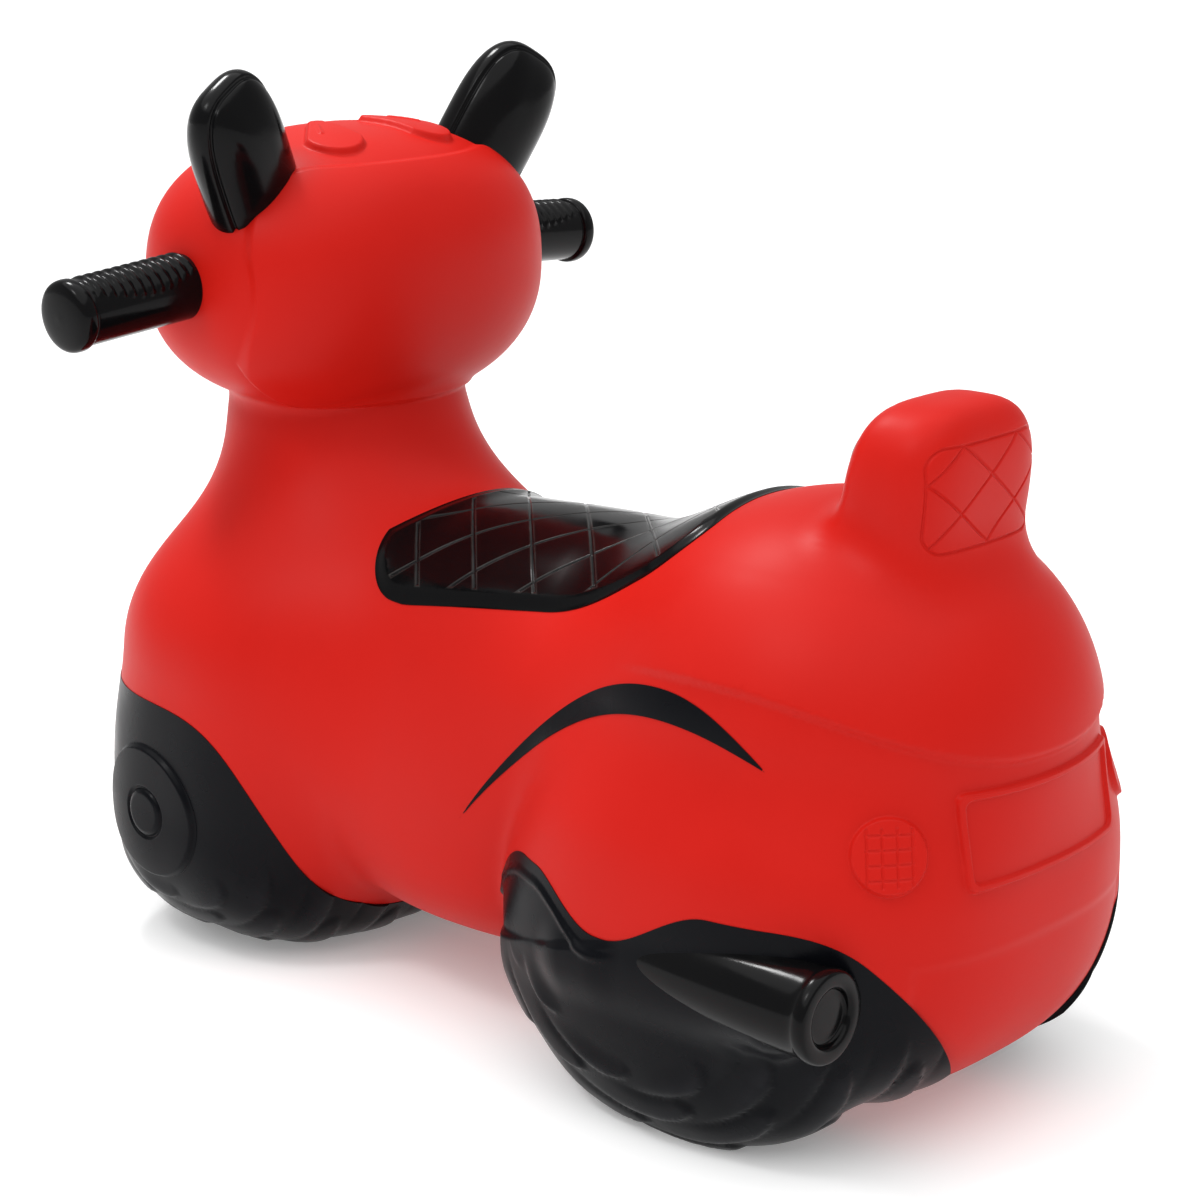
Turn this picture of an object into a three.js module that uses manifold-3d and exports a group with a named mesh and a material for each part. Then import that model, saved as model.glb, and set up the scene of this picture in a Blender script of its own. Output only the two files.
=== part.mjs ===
// Inflatable scooter hopper: a small child's ride-on toy, rotomoulded as one hollow PVC skin.
// The skin is divided on its paint lines into a red body and black sections, each a shell of its own.
// Millimetres, +Z up, +X forward, +Y to the rider's left, origin on the floor below the middle.

import * as THREE from 'three';
import { mergeVertices } from 'three/addons/utils/BufferGeometryUtils.js';
import Module from 'manifold-3d';

// Skin
const WALL = 2.5;
const SEAM = 0.3;
const FLOOR_DIP = 3;

// Spine of the body: straight under the saddle, then a quarter turn up into the neck
const SPINE_TURN_X = 47;
const SPINE_TURN_Z = 270;
const SPINE_BEND = 120;

// Rear body: the round hump over the rear wheels
const REAR_X = -161;
const REAR_TOP = 285;
const REAR_LENGTH = 216;
const REAR_WIDTH = 216;
const REAR_HEIGHT = 208;
const REAR_SQUARENESS = 2.1;

// Skirt: the rear fenders and number board, wider and lower than the hump
const SKIRT_X = -146;
const SKIRT_LENGTH = 250;
const SKIRT_WIDTH = 254;
const SKIRT_BOTTOM = 14;
const SKIRT_HEIGHT = 192;
const SKIRT_SQUARENESS = 2.6;
const SKIRT_FILLET = 16;

// Rear wheels, a fat tyre on each side
const REAR_WHEEL_X = -133;
const REAR_WHEEL_TRACK = 164;
const REAR_WHEEL_LENGTH = 208;
const REAR_WHEEL_WIDTH = 92;
const REAR_WHEEL_HEIGHT = 170;
const REAR_WHEEL_SQUARENESS = 2.1;
const REAR_WHEEL_FILLET = 12;

// Waist below the saddle, and the belly that hangs from it
const WAIST_REAR_X = -103;
const WAIST_FRONT_X = 127;
const WAIST_REAR_Z = 163;
const WAIST_FRONT_Z = 152;
const WAIST_RADIUS = 87.5;
const WAIST_FLATNESS = 1.05;
const WAIST_FILLET = 40;
const BELLY_X = 30;
const BELLY_BOTTOM = 35;
const BELLY_LENGTH = 240;
const BELLY_WIDTH = 190;
const BELLY_HEIGHT = 140;
const BELLY_SQUARENESS = 2.5;
const BELLY_FILLET = 30;

// Chest and front wheel
const CHEST_X = 173;
const CHEST_Z = 150;
const CHEST_LENGTH = 194;
const CHEST_WIDTH = 240;
const CHEST_HEIGHT = 172;
const CHEST_SQUARENESS = 2.3;
const CHEST_FILLET = 50;
const FRONT_WHEEL_X = 183.5;
const FRONT_WHEEL_LENGTH = 174;
const FRONT_WHEEL_WIDTH = 240;
const FRONT_WHEEL_HEIGHT = 165;
const FRONT_WHEEL_SQUARENESS = 2.7;
const FRONT_WHEEL_FILLET = 25;

// Neck and head
const NECK_FOOT_X = 157;
const NECK_FOOT_Z = 170;
const NECK_FOOT_RADIUS = 84;
const NECK_TOP_X = 172;
const NECK_TOP_Z = 320;
const NECK_TOP_RADIUS = 53;
const NECK_FILLET = 35;
const HEAD_X = 167;
const HEAD_Z = 351;
const HEAD_LENGTH = 158;
const HEAD_WIDTH = 210;
const HEAD_HEIGHT = 140;
const HEAD_SQUARENESS = 2.4;
const HEAD_FILLET = 8;

// Backrest, which leans back
const BACKREST_X = -201;
const BACKREST_Z = 280;
const BACKREST_LENGTH = 56;
const BACKREST_WIDTH = 92;
const BACKREST_HEIGHT = 110;
const BACKREST_SQUARENESS = 3.4;
const BACKREST_LEAN = 0.12;
const BACK_PAD_WIDTH = 64;
const BACK_PAD_GAP = 6;
const BACK_PAD_BORDER = 14;
const BACK_PAD_CORNER = 12;

// Mirrors
const MIRROR_X = 147;
const MIRROR_Y = 82;
const MIRROR_Z = 405.5;
const MIRROR_THICKNESS = 31;
const MIRROR_WIDTH = 48;
const MIRROR_HEIGHT = 104;
const MIRROR_SQUARENESS = 3.5;
const MIRROR_SPLAY = 27;
const MIRROR_RAKE = 14;
const MIRROR_RIM = 6;
const MIRROR_RECESS = 3;

// Grips
const GRIP_X = 172;
const GRIP_Z = 355;
const GRIP_DROOP = 4;
const GRIP_REACH = 181;
const GRIP_RADIUS = 16;
const GRIP_CAP_RADIUS = 17.6;
const GRIP_CAP_LENGTH = 24;
const GRIP_GROOVE = 1;
const RIB_COUNT = 10;
const RIB_PITCH = 5;
const RIB_WIDTH = 3;
const RIB_HEIGHT = 1.4;
const RIB_START = 0.35;

// Saddle panel, narrower at the back
const SADDLE_X = -12.5;
const SADDLE_LENGTH = 199;
const SADDLE_WIDTH = 148;
const SADDLE_TAIL_WIDTH = 127;
const SADDLE_CORNER = 24;
const SADDLE_SCOOP = 12;

// Black paint lines of the wheels
const FRONT_PAINT_TOP = 141;
const FRONT_PAINT_SHOULDER = 195;
const FRONT_PAINT_SWEEP = 52;
const FRONT_PAINT_KNEE = 95;
const FRONT_PAINT_BACK = 107;
const FRONT_PAINT_HEEL = 36;
const REAR_PAINT_FRONT = -27;
const REAR_PAINT_TIP = 119;
const REAR_PAINT_DIP = 101;
const REAR_PAINT_DIP_X = -122;
const REAR_PAINT_CREST = 124;
const REAR_PAINT_CREST_X = -188;
const REAR_PAINT_SWEEP = 50;
const REAR_PAINT_INNER = 44;
const REAR_PAINT_FLANK = 50;
const REAR_PAINT_FLANK_Y = 113;
const REAR_PAINT_FLANK_TOP = 131;

// Fender stripe
const STRIPE_FRONT_X = -13;
const STRIPE_FRONT_Z = 131;
const STRIPE_REAR_X = -193;
const STRIPE_REAR_Z = 188;
const STRIPE_CROWN = 231;
const STRIPE_RISE = 188;
const STRIPE_SWEEP = 58;
const STRIPE_WIDTH = 17;

// Hub discs of the front wheel
const HUB_X = 196;
const HUB_Z = 81;
const HUB_RADIUS = 36;
const HUB_PROUD = 3.5;
const HUB_DISH = 1.5;
const HUB_RIM = 6;
const HUB_NAVE_RADIUS = 13;

// Exhaust on the left rear wheel
const EXHAUST_Y = 118;
const EXHAUST_Z = 94.5;
const EXHAUST_FRONT_X = -125;
const EXHAUST_REAR_X = -242;
const EXHAUST_RADIUS = 20;
const EXHAUST_NOSE_RADIUS = 11;
const EXHAUST_MOUTH_RADIUS = 12.4;
const EXHAUST_MOUTH_DEPTH = 4;
const EXHAUST_RING = 7;

// Mouldings on the red skin: number board frame, tail lamps and dials
const BOARD_WIDTH = 110;
const BOARD_HEIGHT = 43;
const BOARD_Z = 158.5;
const BOARD_FRAME = 4.5;
const BOARD_PROUD = 1.8;
const LAMP_Y = 82;
const LAMP_Z = 156.5;
const LAMP_RADIUS = 16.5;
const LAMP_PROUD = 1.6;
const DIAL_X = 136;
const DIAL_Y = 31;
const DIAL_RADIUS = 14;
const DIAL_TIP_X = 168;
const DIAL_TIP_Y = 34;
const DIAL_TIP_RADIUS = 5;
const DIAL_PROUD = 3.2;

// Valve and plug
const VALVE_X = 20;
const BOSS_RADIUS = 10;
const BOSS_DEPTH = 18;
const PLUG_RADIUS = 4;
const PLUG_LENGTH = 16;
const PLUG_FLANGE_RADIUS = 8;
const PLUG_FLANGE_THICKNESS = 2.2;
const PLUG_CLEARANCE = 0.3;

// Fineness: rays round the spine, and facets of curved outlines and turned pieces
const ROUND = 26;
const TAIL_STEPS = 6;
const WAIST_STEPS = 10;
const TURN_STEPS = 16;
const HEAD_STEPS = 11;
const LUMP_ROUND = 16;
const LUMP_STEPS = 10;
const OUTLINE_SEGMENTS = 6;
const RIB_SEGMENTS = 3;
const TURNED_SEGMENTS = 18;

const wasm = await Module();
wasm.setup();

const SIDE = new THREE.Vector3(0, 1, 0);
const FAR = 400;
const halfTurn = Math.PI;
const quarterTurn = Math.PI / 2;

// Forms: functions of a point that give its distance to the surface, negative inside

function block(centre, size, power) {
  return (p) => {
    const q = ['x', 'y', 'z'].map((k) => Math.abs(p[k] - centre[k]) / (size[k] / 2) + 1e-9);
    const reach = (q[0] ** power + q[1] ** power + q[2] ** power) ** (1 / power);
    const slope = Math.hypot(...['x', 'y', 'z'].map((k, i) => (q[i] / reach) ** (power - 1) / (size[k] / 2)));
    return (reach - 1) / slope;
  };
}

function taperedLimb(from, to, radiusFrom, radiusTo, flatness = 1) {
  const along = to.clone().sub(from);
  const lengthSq = along.lengthSq();
  return (p) => {
    const q = new THREE.Vector3(p.x, p.y / flatness, p.z).sub(from);
    const t = THREE.MathUtils.clamp(q.dot(along) / lengthSq, 0, 1);
    return q.addScaledVector(along, -t).length() - THREE.MathUtils.lerp(radiusFrom, radiusTo, t);
  };
}

function onBothSides(form) {
  return (p) => form(new THREE.Vector3(p.x, Math.abs(p.y), p.z));
}

function melt(first, second, radius) {
  return (p) => {
    const a = first(p);
    const b = second(p);
    const h = THREE.MathUtils.clamp(0.5 + (0.5 * (b - a)) / radius, 0, 1);
    return b + (a - b) * h - radius * h * (1 - h);
  };
}

const at = (x, y, z) => new THREE.Vector3(x, y, z);

const rear = block(
  at(REAR_X, 0, REAR_TOP - REAR_HEIGHT / 2),
  at(REAR_LENGTH, REAR_WIDTH, REAR_HEIGHT), REAR_SQUARENESS,
);
const waist = taperedLimb(
  at(WAIST_REAR_X, 0, WAIST_REAR_Z), at(WAIST_FRONT_X, 0, WAIST_FRONT_Z),
  WAIST_RADIUS, WAIST_RADIUS, WAIST_FLATNESS,
);
const belly = block(
  at(BELLY_X, 0, BELLY_BOTTOM + BELLY_HEIGHT / 2),
  at(BELLY_LENGTH, BELLY_WIDTH, BELLY_HEIGHT), BELLY_SQUARENESS,
);
const chest = block(at(CHEST_X, 0, CHEST_Z), at(CHEST_LENGTH, CHEST_WIDTH, CHEST_HEIGHT), CHEST_SQUARENESS);
const frontWheel = block(
  at(FRONT_WHEEL_X, 0, FRONT_WHEEL_HEIGHT / 2 - FLOOR_DIP),
  at(FRONT_WHEEL_LENGTH, FRONT_WHEEL_WIDTH, FRONT_WHEEL_HEIGHT), FRONT_WHEEL_SQUARENESS,
);
const neck = taperedLimb(
  at(NECK_FOOT_X, 0, NECK_FOOT_Z), at(NECK_TOP_X, 0, NECK_TOP_Z), NECK_FOOT_RADIUS, NECK_TOP_RADIUS,
);
const skirt = block(
  at(SKIRT_X, 0, SKIRT_BOTTOM + SKIRT_HEIGHT / 2),
  at(SKIRT_LENGTH, SKIRT_WIDTH, SKIRT_HEIGHT), SKIRT_SQUARENESS,
);
const rearWheels = onBothSides(block(
  at(REAR_WHEEL_X, REAR_WHEEL_TRACK / 2, REAR_WHEEL_HEIGHT / 2 - FLOOR_DIP),
  at(REAR_WHEEL_LENGTH, REAR_WHEEL_WIDTH, REAR_WHEEL_HEIGHT), REAR_WHEEL_SQUARENESS,
));
const head = block(at(HEAD_X, 0, HEAD_Z), at(HEAD_LENGTH, HEAD_WIDTH, HEAD_HEIGHT), HEAD_SQUARENESS);
const upright = block(
  at(BACKREST_X, 0, BACKREST_Z), at(BACKREST_LENGTH, BACKREST_WIDTH, BACKREST_HEIGHT), BACKREST_SQUARENESS,
);
const backrest = (p) => upright(at(p.x + BACKREST_LEAN * (p.z - BACKREST_Z), p.y, p.z));

let trunk = melt(rear, waist, WAIST_FILLET);
trunk = melt(trunk, belly, BELLY_FILLET);
trunk = melt(trunk, chest, CHEST_FILLET);
trunk = melt(trunk, frontWheel, FRONT_WHEEL_FILLET);
trunk = melt(trunk, neck, NECK_FILLET);
trunk = melt(trunk, skirt, SKIRT_FILLET);
trunk = melt(trunk, rearWheels, REAR_WHEEL_FILLET);
trunk = melt(trunk, head, HEAD_FILLET);

// Surfaces: rays leave a spine and stop where the form ends

function reach(form, origin, direction, level) {
  const p = new THREE.Vector3();
  const inside = (t) => form(p.copy(origin).addScaledVector(direction, t)) < level;
  const stride = 6;
  let near = 0;
  while (inside(near + stride)) near += stride;
  let far = near + stride;
  for (let i = 0; i < 22; i += 1) {
    const middle = (near + far) / 2;
    if (inside(middle)) near = middle;
    else far = middle;
  }
  return p.copy(origin).addScaledVector(direction, near).clone();
}

// Stations of the body's spine: a fan round the tail, straight under the saddle, a quarter turn about
// a point above the saddle's front, and a fan round the head. Lean is the rays' angle to the spine.
function bodySpine() {
  const pivot = at(SPINE_TURN_X, 0, SPINE_TURN_Z);
  const bend = SPINE_BEND;
  const stations = [];
  const forward = at(1, 0, 0);
  const upward = at(0, 0, 1);
  const tail = at(REAR_X, 0, pivot.z - bend);
  for (let i = 0; i < TAIL_STEPS; i += 1) {
    const lean = halfTurn - (quarterTurn * i) / TAIL_STEPS;
    stations.push({ origin: tail, along: forward, up: upward, lean });
  }
  for (let i = 0; i < WAIST_STEPS; i += 1) {
    const origin = at(THREE.MathUtils.lerp(tail.x, pivot.x, i / WAIST_STEPS), 0, tail.z);
    stations.push({ origin, along: forward, up: upward, lean: quarterTurn });
  }
  for (let i = 0; i <= TURN_STEPS; i += 1) {
    const turn = (quarterTurn * i) / TURN_STEPS;
    const along = at(Math.cos(turn), 0, Math.sin(turn));
    const up = at(-Math.sin(turn), 0, Math.cos(turn));
    stations.push({ origin: pivot.clone().addScaledVector(up, -bend), along, up, lean: quarterTurn });
  }
  const crown = at(HEAD_X, 0, HEAD_Z);
  const firstLean = 0.76 * halfTurn;
  for (let i = 0; i <= HEAD_STEPS; i += 1) {
    stations.push({ origin: crown, along: upward, up: at(-1, 0, 0), lean: firstLean * (1 - i / HEAD_STEPS) });
  }
  return stations;
}

// Stations of a single lump: one fan from its centre
function lumpSpine(centre, steps) {
  const stations = [];
  for (let i = 0; i <= steps; i += 1) {
    const lean = halfTurn * (1 - i / steps);
    stations.push({ origin: centre, along: at(1, 0, 0), up: at(0, 0, 1), lean });
  }
  return stations;
}

function loft(form, stations, around, level) {
  const points = [];
  const triangles = [];
  const rings = stations.map(({ origin, along, up, lean }) => {
    const start = points.length / 3;
    const isPole = Math.sin(lean) < 1e-6;
    for (let i = 0; i < (isPole ? 1 : around); i += 1) {
      const turn = (2 * Math.PI * i) / around;
      const direction = along.clone().multiplyScalar(Math.cos(lean));
      direction.addScaledVector(up, Math.cos(turn) * Math.sin(lean));
      direction.addScaledVector(SIDE, Math.sin(turn) * Math.sin(lean));
      points.push(...reach(form, origin, direction, level).toArray());
    }
    return (i) => (isPole ? start : start + (i % around));
  });
  for (let k = 0; k + 1 < rings.length; k += 1) {
    for (let i = 0; i < around; i += 1) {
      const a = rings[k](i);
      const b = rings[k + 1](i);
      const c = rings[k + 1](i + 1);
      const d = rings[k](i + 1);
      const onLeft = i < around / 2;
      const halves = onLeft ? [[a, b, c], [a, c, d]] : [[a, b, d], [b, c, d]];
      for (const [u, v, w] of halves) {
        if (u !== v && v !== w && w !== u) triangles.push(u, v, w);
      }
    }
  }
  const geometry = new THREE.BufferGeometry();
  geometry.setAttribute('position', new THREE.Float32BufferAttribute(points, 3));
  geometry.setIndex(triangles);
  return geometry;
}

// Solids

function solidOf(geometry) {
  const bare = geometry.clone();
  bare.deleteAttribute('normal');
  bare.deleteAttribute('uv');
  const merged = mergeVertices(bare, 1e-4);
  const corners = merged.index.array;
  const triangles = [];
  for (let i = 0; i < corners.length; i += 3) {
    const [a, b, c] = corners.slice(i, i + 3);
    if (a !== b && b !== c && c !== a) triangles.push(a, b, c);
  }
  const vertProperties = new Float32Array(merged.attributes.position.array);
  const triVerts = new Uint32Array(triangles);
  return new wasm.Manifold(new wasm.Mesh({ numProp: 3, vertProperties, triVerts }));
}

function geometryOf(solid) {
  const mesh = solid.getMesh();
  const geometry = new THREE.BufferGeometry();
  geometry.setAttribute('position', new THREE.BufferAttribute(mesh.vertProperties, mesh.numProp));
  geometry.setIndex(new THREE.BufferAttribute(mesh.triVerts, 1));
  return geometry;
}

// The same piece on the other side of the middle plane
function mirrored(geometry) {
  const flipped = geometry.clone().scale(1, -1, 1);
  const index = flipped.index.array;
  for (let i = 0; i < index.length; i += 3) {
    [index[i], index[i + 1]] = [index[i + 1], index[i]];
  }
  return flipped;
}

function boxSolid(low, high) {
  const size = high.clone().sub(low);
  const middle = low.clone().add(high).multiplyScalar(0.5);
  return solidOf(new THREE.BoxGeometry(size.x, size.y, size.z).translate(middle.x, middle.y, middle.z));
}

// A turned piece: a profile of radius and height about the Y axis
function turned(profile) {
  const points = profile.map(([radius, height]) => new THREE.Vector2(radius, height));
  return new THREE.LatheGeometry(points, TURNED_SEGMENTS);
}

// An outline pushed along the third axis. A side outline holds X and Z and runs along Y, a top outline
// holds X and Y and runs along Z, and a rear outline holds Y and Z and runs along X.
function prism(shape, view, from, to, curveSegments = OUTLINE_SEGMENTS) {
  const geometry = new THREE.ExtrudeGeometry(shape, { depth: to - from, bevelEnabled: false, curveSegments });
  if (view === 'top') geometry.translate(0, 0, from);
  if (view === 'side') geometry.rotateX(quarterTurn).translate(0, to, 0);
  if (view === 'rear') geometry.rotateX(quarterTurn).rotateZ(quarterTurn).translate(from, 0, 0);
  return solidOf(geometry);
}

// All that lies within a level of the form, cut flat where it stands on the floor
function bodySolid(level) {
  const standing = boxSolid(at(-FAR, -FAR, -level), at(FAR, FAR, 2 * FAR));
  const lump = lumpSpine(at(BACKREST_X, 0, BACKREST_Z), LUMP_STEPS);
  const hump = solidOf(loft(trunk, bodySpine(), ROUND, level));
  return hump.add(solidOf(loft(backrest, lump, LUMP_ROUND, level))).intersect(standing);
}

const outer = bodySolid(0);
const inner = bodySolid(-WALL);
const grown = bodySolid(SEAM);
const skin = outer.subtract(inner);

// Paint lines: outlines of the black sections, grown by the seam where the red skin is cut for them

function saddleZone(grow) {
  const front = SADDLE_X + SADDLE_LENGTH / 2 + grow;
  const back = SADDLE_X - SADDLE_LENGTH / 2 - grow;
  const half = SADDLE_WIDTH / 2 + grow;
  const tail = SADDLE_TAIL_WIDTH / 2 + grow;
  const r = SADDLE_CORNER + grow;
  const shape = new THREE.Shape();
  shape.moveTo(back + r, -tail);
  shape.lineTo(front - r, -half);
  shape.absarc(front - r, r - half, r, -quarterTurn, 0);
  shape.quadraticCurveTo(front - 2 * SADDLE_SCOOP, 0, front, half - r);
  shape.absarc(front - r, half - r, r, 0, quarterTurn);
  shape.lineTo(back + r, tail);
  shape.absarc(back + r, tail - r, r, quarterTurn, halfTurn);
  shape.absarc(back + r, r - tail, r, halfTurn, 3 * quarterTurn);
  return prism(shape, 'top', WAIST_FRONT_Z, REAR_TOP + SADDLE_LENGTH);
}

// The pad on the backrest's front face, from just above the hump to a border below the top
function backPadZone(grow) {
  const half = BACK_PAD_WIDTH / 2 + grow;
  const low = REAR_TOP + BACK_PAD_GAP - grow;
  const high = BACKREST_Z + BACKREST_HEIGHT / 2 - BACK_PAD_BORDER + grow;
  const r = BACK_PAD_CORNER + grow;
  const shape = new THREE.Shape();
  shape.moveTo(-half, low);
  shape.lineTo(half, low);
  shape.lineTo(half, high - r);
  shape.absarc(half - r, high - r, r, 0, quarterTurn);
  shape.lineTo(r - half, high);
  shape.absarc(r - half, high - r, r, quarterTurn, halfTurn);
  return prism(shape, 'rear', BACKREST_X, BACKREST_X + BACKREST_LENGTH);
}

function frontPaintZone(grow) {
  const top = FRONT_PAINT_TOP + grow;
  const back = FRONT_PAINT_BACK - grow;
  const shape = new THREE.Shape();
  shape.moveTo(FAR, top);
  shape.lineTo(FRONT_PAINT_SHOULDER, top);
  shape.bezierCurveTo(
    FRONT_PAINT_SHOULDER - FRONT_PAINT_SWEEP, top,
    back + FRONT_PAINT_SWEEP / 3, FRONT_PAINT_KNEE,
    back, FRONT_PAINT_HEEL,
  );
  shape.lineTo(back, -FAR);
  shape.lineTo(FAR, -FAR);
  return prism(shape, 'side', -FAR, FAR);
}

// The rear tyre's paint line dips below the exhaust's front, rises over it and falls to the inner flank
function rearPaintZone(grow) {
  const front = REAR_PAINT_FRONT + grow;
  const side = new THREE.Shape();
  side.moveTo(front, -FAR);
  side.lineTo(front, REAR_PAINT_TIP + grow);
  side.bezierCurveTo(
    REAR_PAINT_FRONT - REAR_PAINT_SWEEP, REAR_PAINT_TIP + grow,
    REAR_PAINT_DIP_X + REAR_PAINT_SWEEP / 2, REAR_PAINT_DIP + grow,
    REAR_PAINT_DIP_X, REAR_PAINT_DIP + grow,
  );
  side.bezierCurveTo(
    REAR_PAINT_DIP_X - REAR_PAINT_SWEEP / 2, REAR_PAINT_DIP + grow,
    REAR_PAINT_CREST_X + REAR_PAINT_SWEEP / 2, REAR_PAINT_CREST + grow,
    REAR_PAINT_CREST_X, REAR_PAINT_CREST + grow,
  );
  side.lineTo(-FAR, REAR_PAINT_CREST + grow);
  side.lineTo(-FAR, -FAR);
  const inner = REAR_PAINT_INNER - grow;
  const rearView = new THREE.Shape();
  rearView.moveTo(inner, -FAR);
  rearView.lineTo(inner, REAR_PAINT_FLANK + grow);
  rearView.lineTo(REAR_PAINT_FLANK_Y, REAR_PAINT_FLANK_TOP + grow);
  rearView.lineTo(FAR, FAR);
  rearView.lineTo(FAR, -FAR);
  return prism(side, 'side', 0, FAR).intersect(prism(rearView, 'rear', -FAR, FAR));
}

// The stripe is a crescent between two curves that share their sharp tips
function stripeZone(grow) {
  const rise = new THREE.Vector2(STRIPE_FRONT_X - STRIPE_SWEEP / 2, STRIPE_RISE);
  const crown = new THREE.Vector2(STRIPE_REAR_X + STRIPE_SWEEP, STRIPE_CROWN);
  const front = new THREE.Vector2(STRIPE_FRONT_X, STRIPE_FRONT_Z);
  const back = new THREE.Vector2(STRIPE_REAR_X, STRIPE_REAR_Z);
  const half = STRIPE_WIDTH / 2 + 2.5 * grow;
  const shape = new THREE.Shape();
  shape.moveTo(front.x, front.y);
  shape.bezierCurveTo(rise.x, rise.y + half, crown.x, crown.y + half, back.x, back.y);
  shape.bezierCurveTo(crown.x, crown.y - half, rise.x, rise.y - half, front.x, front.y);
  return prism(shape, 'side', 0, FAR);
}

const mirroredSolid = (solid) => solidOf(mirrored(geometryOf(solid)));
const bothSides = (solid) => solid.add(mirroredSolid(solid));

// Sections of the skin
const saddle = skin.intersect(saddleZone(0));
const frontTyre = skin.intersect(frontPaintZone(0));
const rearTyre = skin.intersect(rearPaintZone(0));
const fenderStripe = skin.intersect(stripeZone(0));
const backPad = skin.intersect(backPadZone(0));

// Valve: a thick boss inside the belly, with a flat seat for the plug's flange
const bellyZ = reach(trunk, at(VALVE_X, 0, WAIST_FRONT_Z), at(0, 0, -1), 0).z;
const seatZ = bellyZ + PLUG_FLANGE_THICKNESS;
const uprightTurned = (profile) => solidOf(turned(profile).rotateX(quarterTurn).translate(VALVE_X, 0, 0));
const boss = uprightTurned([
  [0, seatZ],
  [BOSS_RADIUS + WALL, seatZ],
  [BOSS_RADIUS, seatZ + BOSS_DEPTH],
  [0, seatZ + BOSS_DEPTH],
]);
const boreRadius = PLUG_RADIUS + PLUG_CLEARANCE;
const seatRadius = PLUG_FLANGE_RADIUS + 1;
const bore = uprightTurned([
  [0, 0],
  [seatRadius, 0],
  [seatRadius, seatZ],
  [boreRadius, seatZ],
  [boreRadius, WAIST_FRONT_Z],
  [0, WAIST_FRONT_Z],
]);

// Mouldings that stand proud of the red skin
function roundedFrame(width, height, corner) {
  const shape = new THREE.Shape();
  shape.moveTo(corner - width / 2, BOARD_Z - height / 2);
  shape.absarc(width / 2 - corner, BOARD_Z + corner - height / 2, corner, -quarterTurn, 0);
  shape.absarc(width / 2 - corner, BOARD_Z + height / 2 - corner, corner, 0, quarterTurn);
  shape.absarc(corner - width / 2, BOARD_Z + height / 2 - corner, corner, quarterTurn, halfTurn);
  shape.absarc(corner - width / 2, BOARD_Z + corner - height / 2, corner, halfTurn, 3 * quarterTurn);
  return prism(shape, 'rear', -FAR, REAR_X, RIB_SEGMENTS);
}
const boardZone = roundedFrame(BOARD_WIDTH, BOARD_HEIGHT, BOARD_FRAME)
  .subtract(roundedFrame(BOARD_WIDTH - 2 * BOARD_FRAME, BOARD_HEIGHT - 2 * BOARD_FRAME, BOARD_FRAME / 2));
const lampShape = new THREE.Shape();
lampShape.absarc(LAMP_Y, LAMP_Z, LAMP_RADIUS, 0, 2 * halfTurn);
const lampZone = bothSides(prism(lampShape, 'rear', -FAR, REAR_X));
const dialShape = new THREE.Shape();
dialShape.absarc(DIAL_X, DIAL_Y, DIAL_RADIUS, quarterTurn, 3 * quarterTurn);
dialShape.absarc(DIAL_TIP_X, DIAL_TIP_Y, DIAL_TIP_RADIUS, -quarterTurn, quarterTurn);
const dialZone = bothSides(prism(dialShape, 'top', HEAD_Z, 2 * FAR));
const mouldings = bodySolid(BOARD_PROUD).intersect(boardZone)
  .add(bodySolid(LAMP_PROUD).intersect(lampZone))
  .add(bodySolid(DIAL_PROUD).intersect(dialZone))
  .subtract(bodySolid(-WALL / 2));

const body = skin
  .add(mouldings)
  .subtract(saddleZone(SEAM))
  .subtract(backPadZone(SEAM))
  .subtract(frontPaintZone(SEAM))
  .subtract(bothSides(rearPaintZone(SEAM)))
  .subtract(bothSides(stripeZone(SEAM)))
  .add(boss)
  .subtract(bore);

// Plug: a flange with a round-nosed stem
const plugTop = seatZ - PLUG_CLEARANCE;
const plug = uprightTurned([
  [0, plugTop - PLUG_FLANGE_THICKNESS],
  [PLUG_FLANGE_RADIUS - 1, plugTop - PLUG_FLANGE_THICKNESS],
  [PLUG_FLANGE_RADIUS, plugTop - PLUG_FLANGE_THICKNESS + 1],
  [PLUG_FLANGE_RADIUS, plugTop],
  [PLUG_RADIUS, plugTop],
  [PLUG_RADIUS, plugTop + PLUG_LENGTH - PLUG_RADIUS / 2],
  [PLUG_RADIUS / 2, plugTop + PLUG_LENGTH],
  [0, plugTop + PLUG_LENGTH],
]);

// Hub disc: a raised rim and nave that follow the front tyre's flank
function roundZone(x, z, radius) {
  const shape = new THREE.Shape();
  shape.absarc(x, z, radius, 0, 2 * halfTurn);
  return prism(shape, 'side', 0, FAR);
}
const hubDisc = roundZone(HUB_X, HUB_Z, HUB_RADIUS);
const hubRim = hubDisc.subtract(roundZone(HUB_X, HUB_Z, HUB_RADIUS - HUB_RIM));
const hubNave = roundZone(HUB_X, HUB_Z, HUB_NAVE_RADIUS);
const hub = bodySolid(HUB_DISH).intersect(hubDisc)
  .add(bodySolid(HUB_PROUD).intersect(hubRim.add(hubNave)))
  .subtract(grown);

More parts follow.
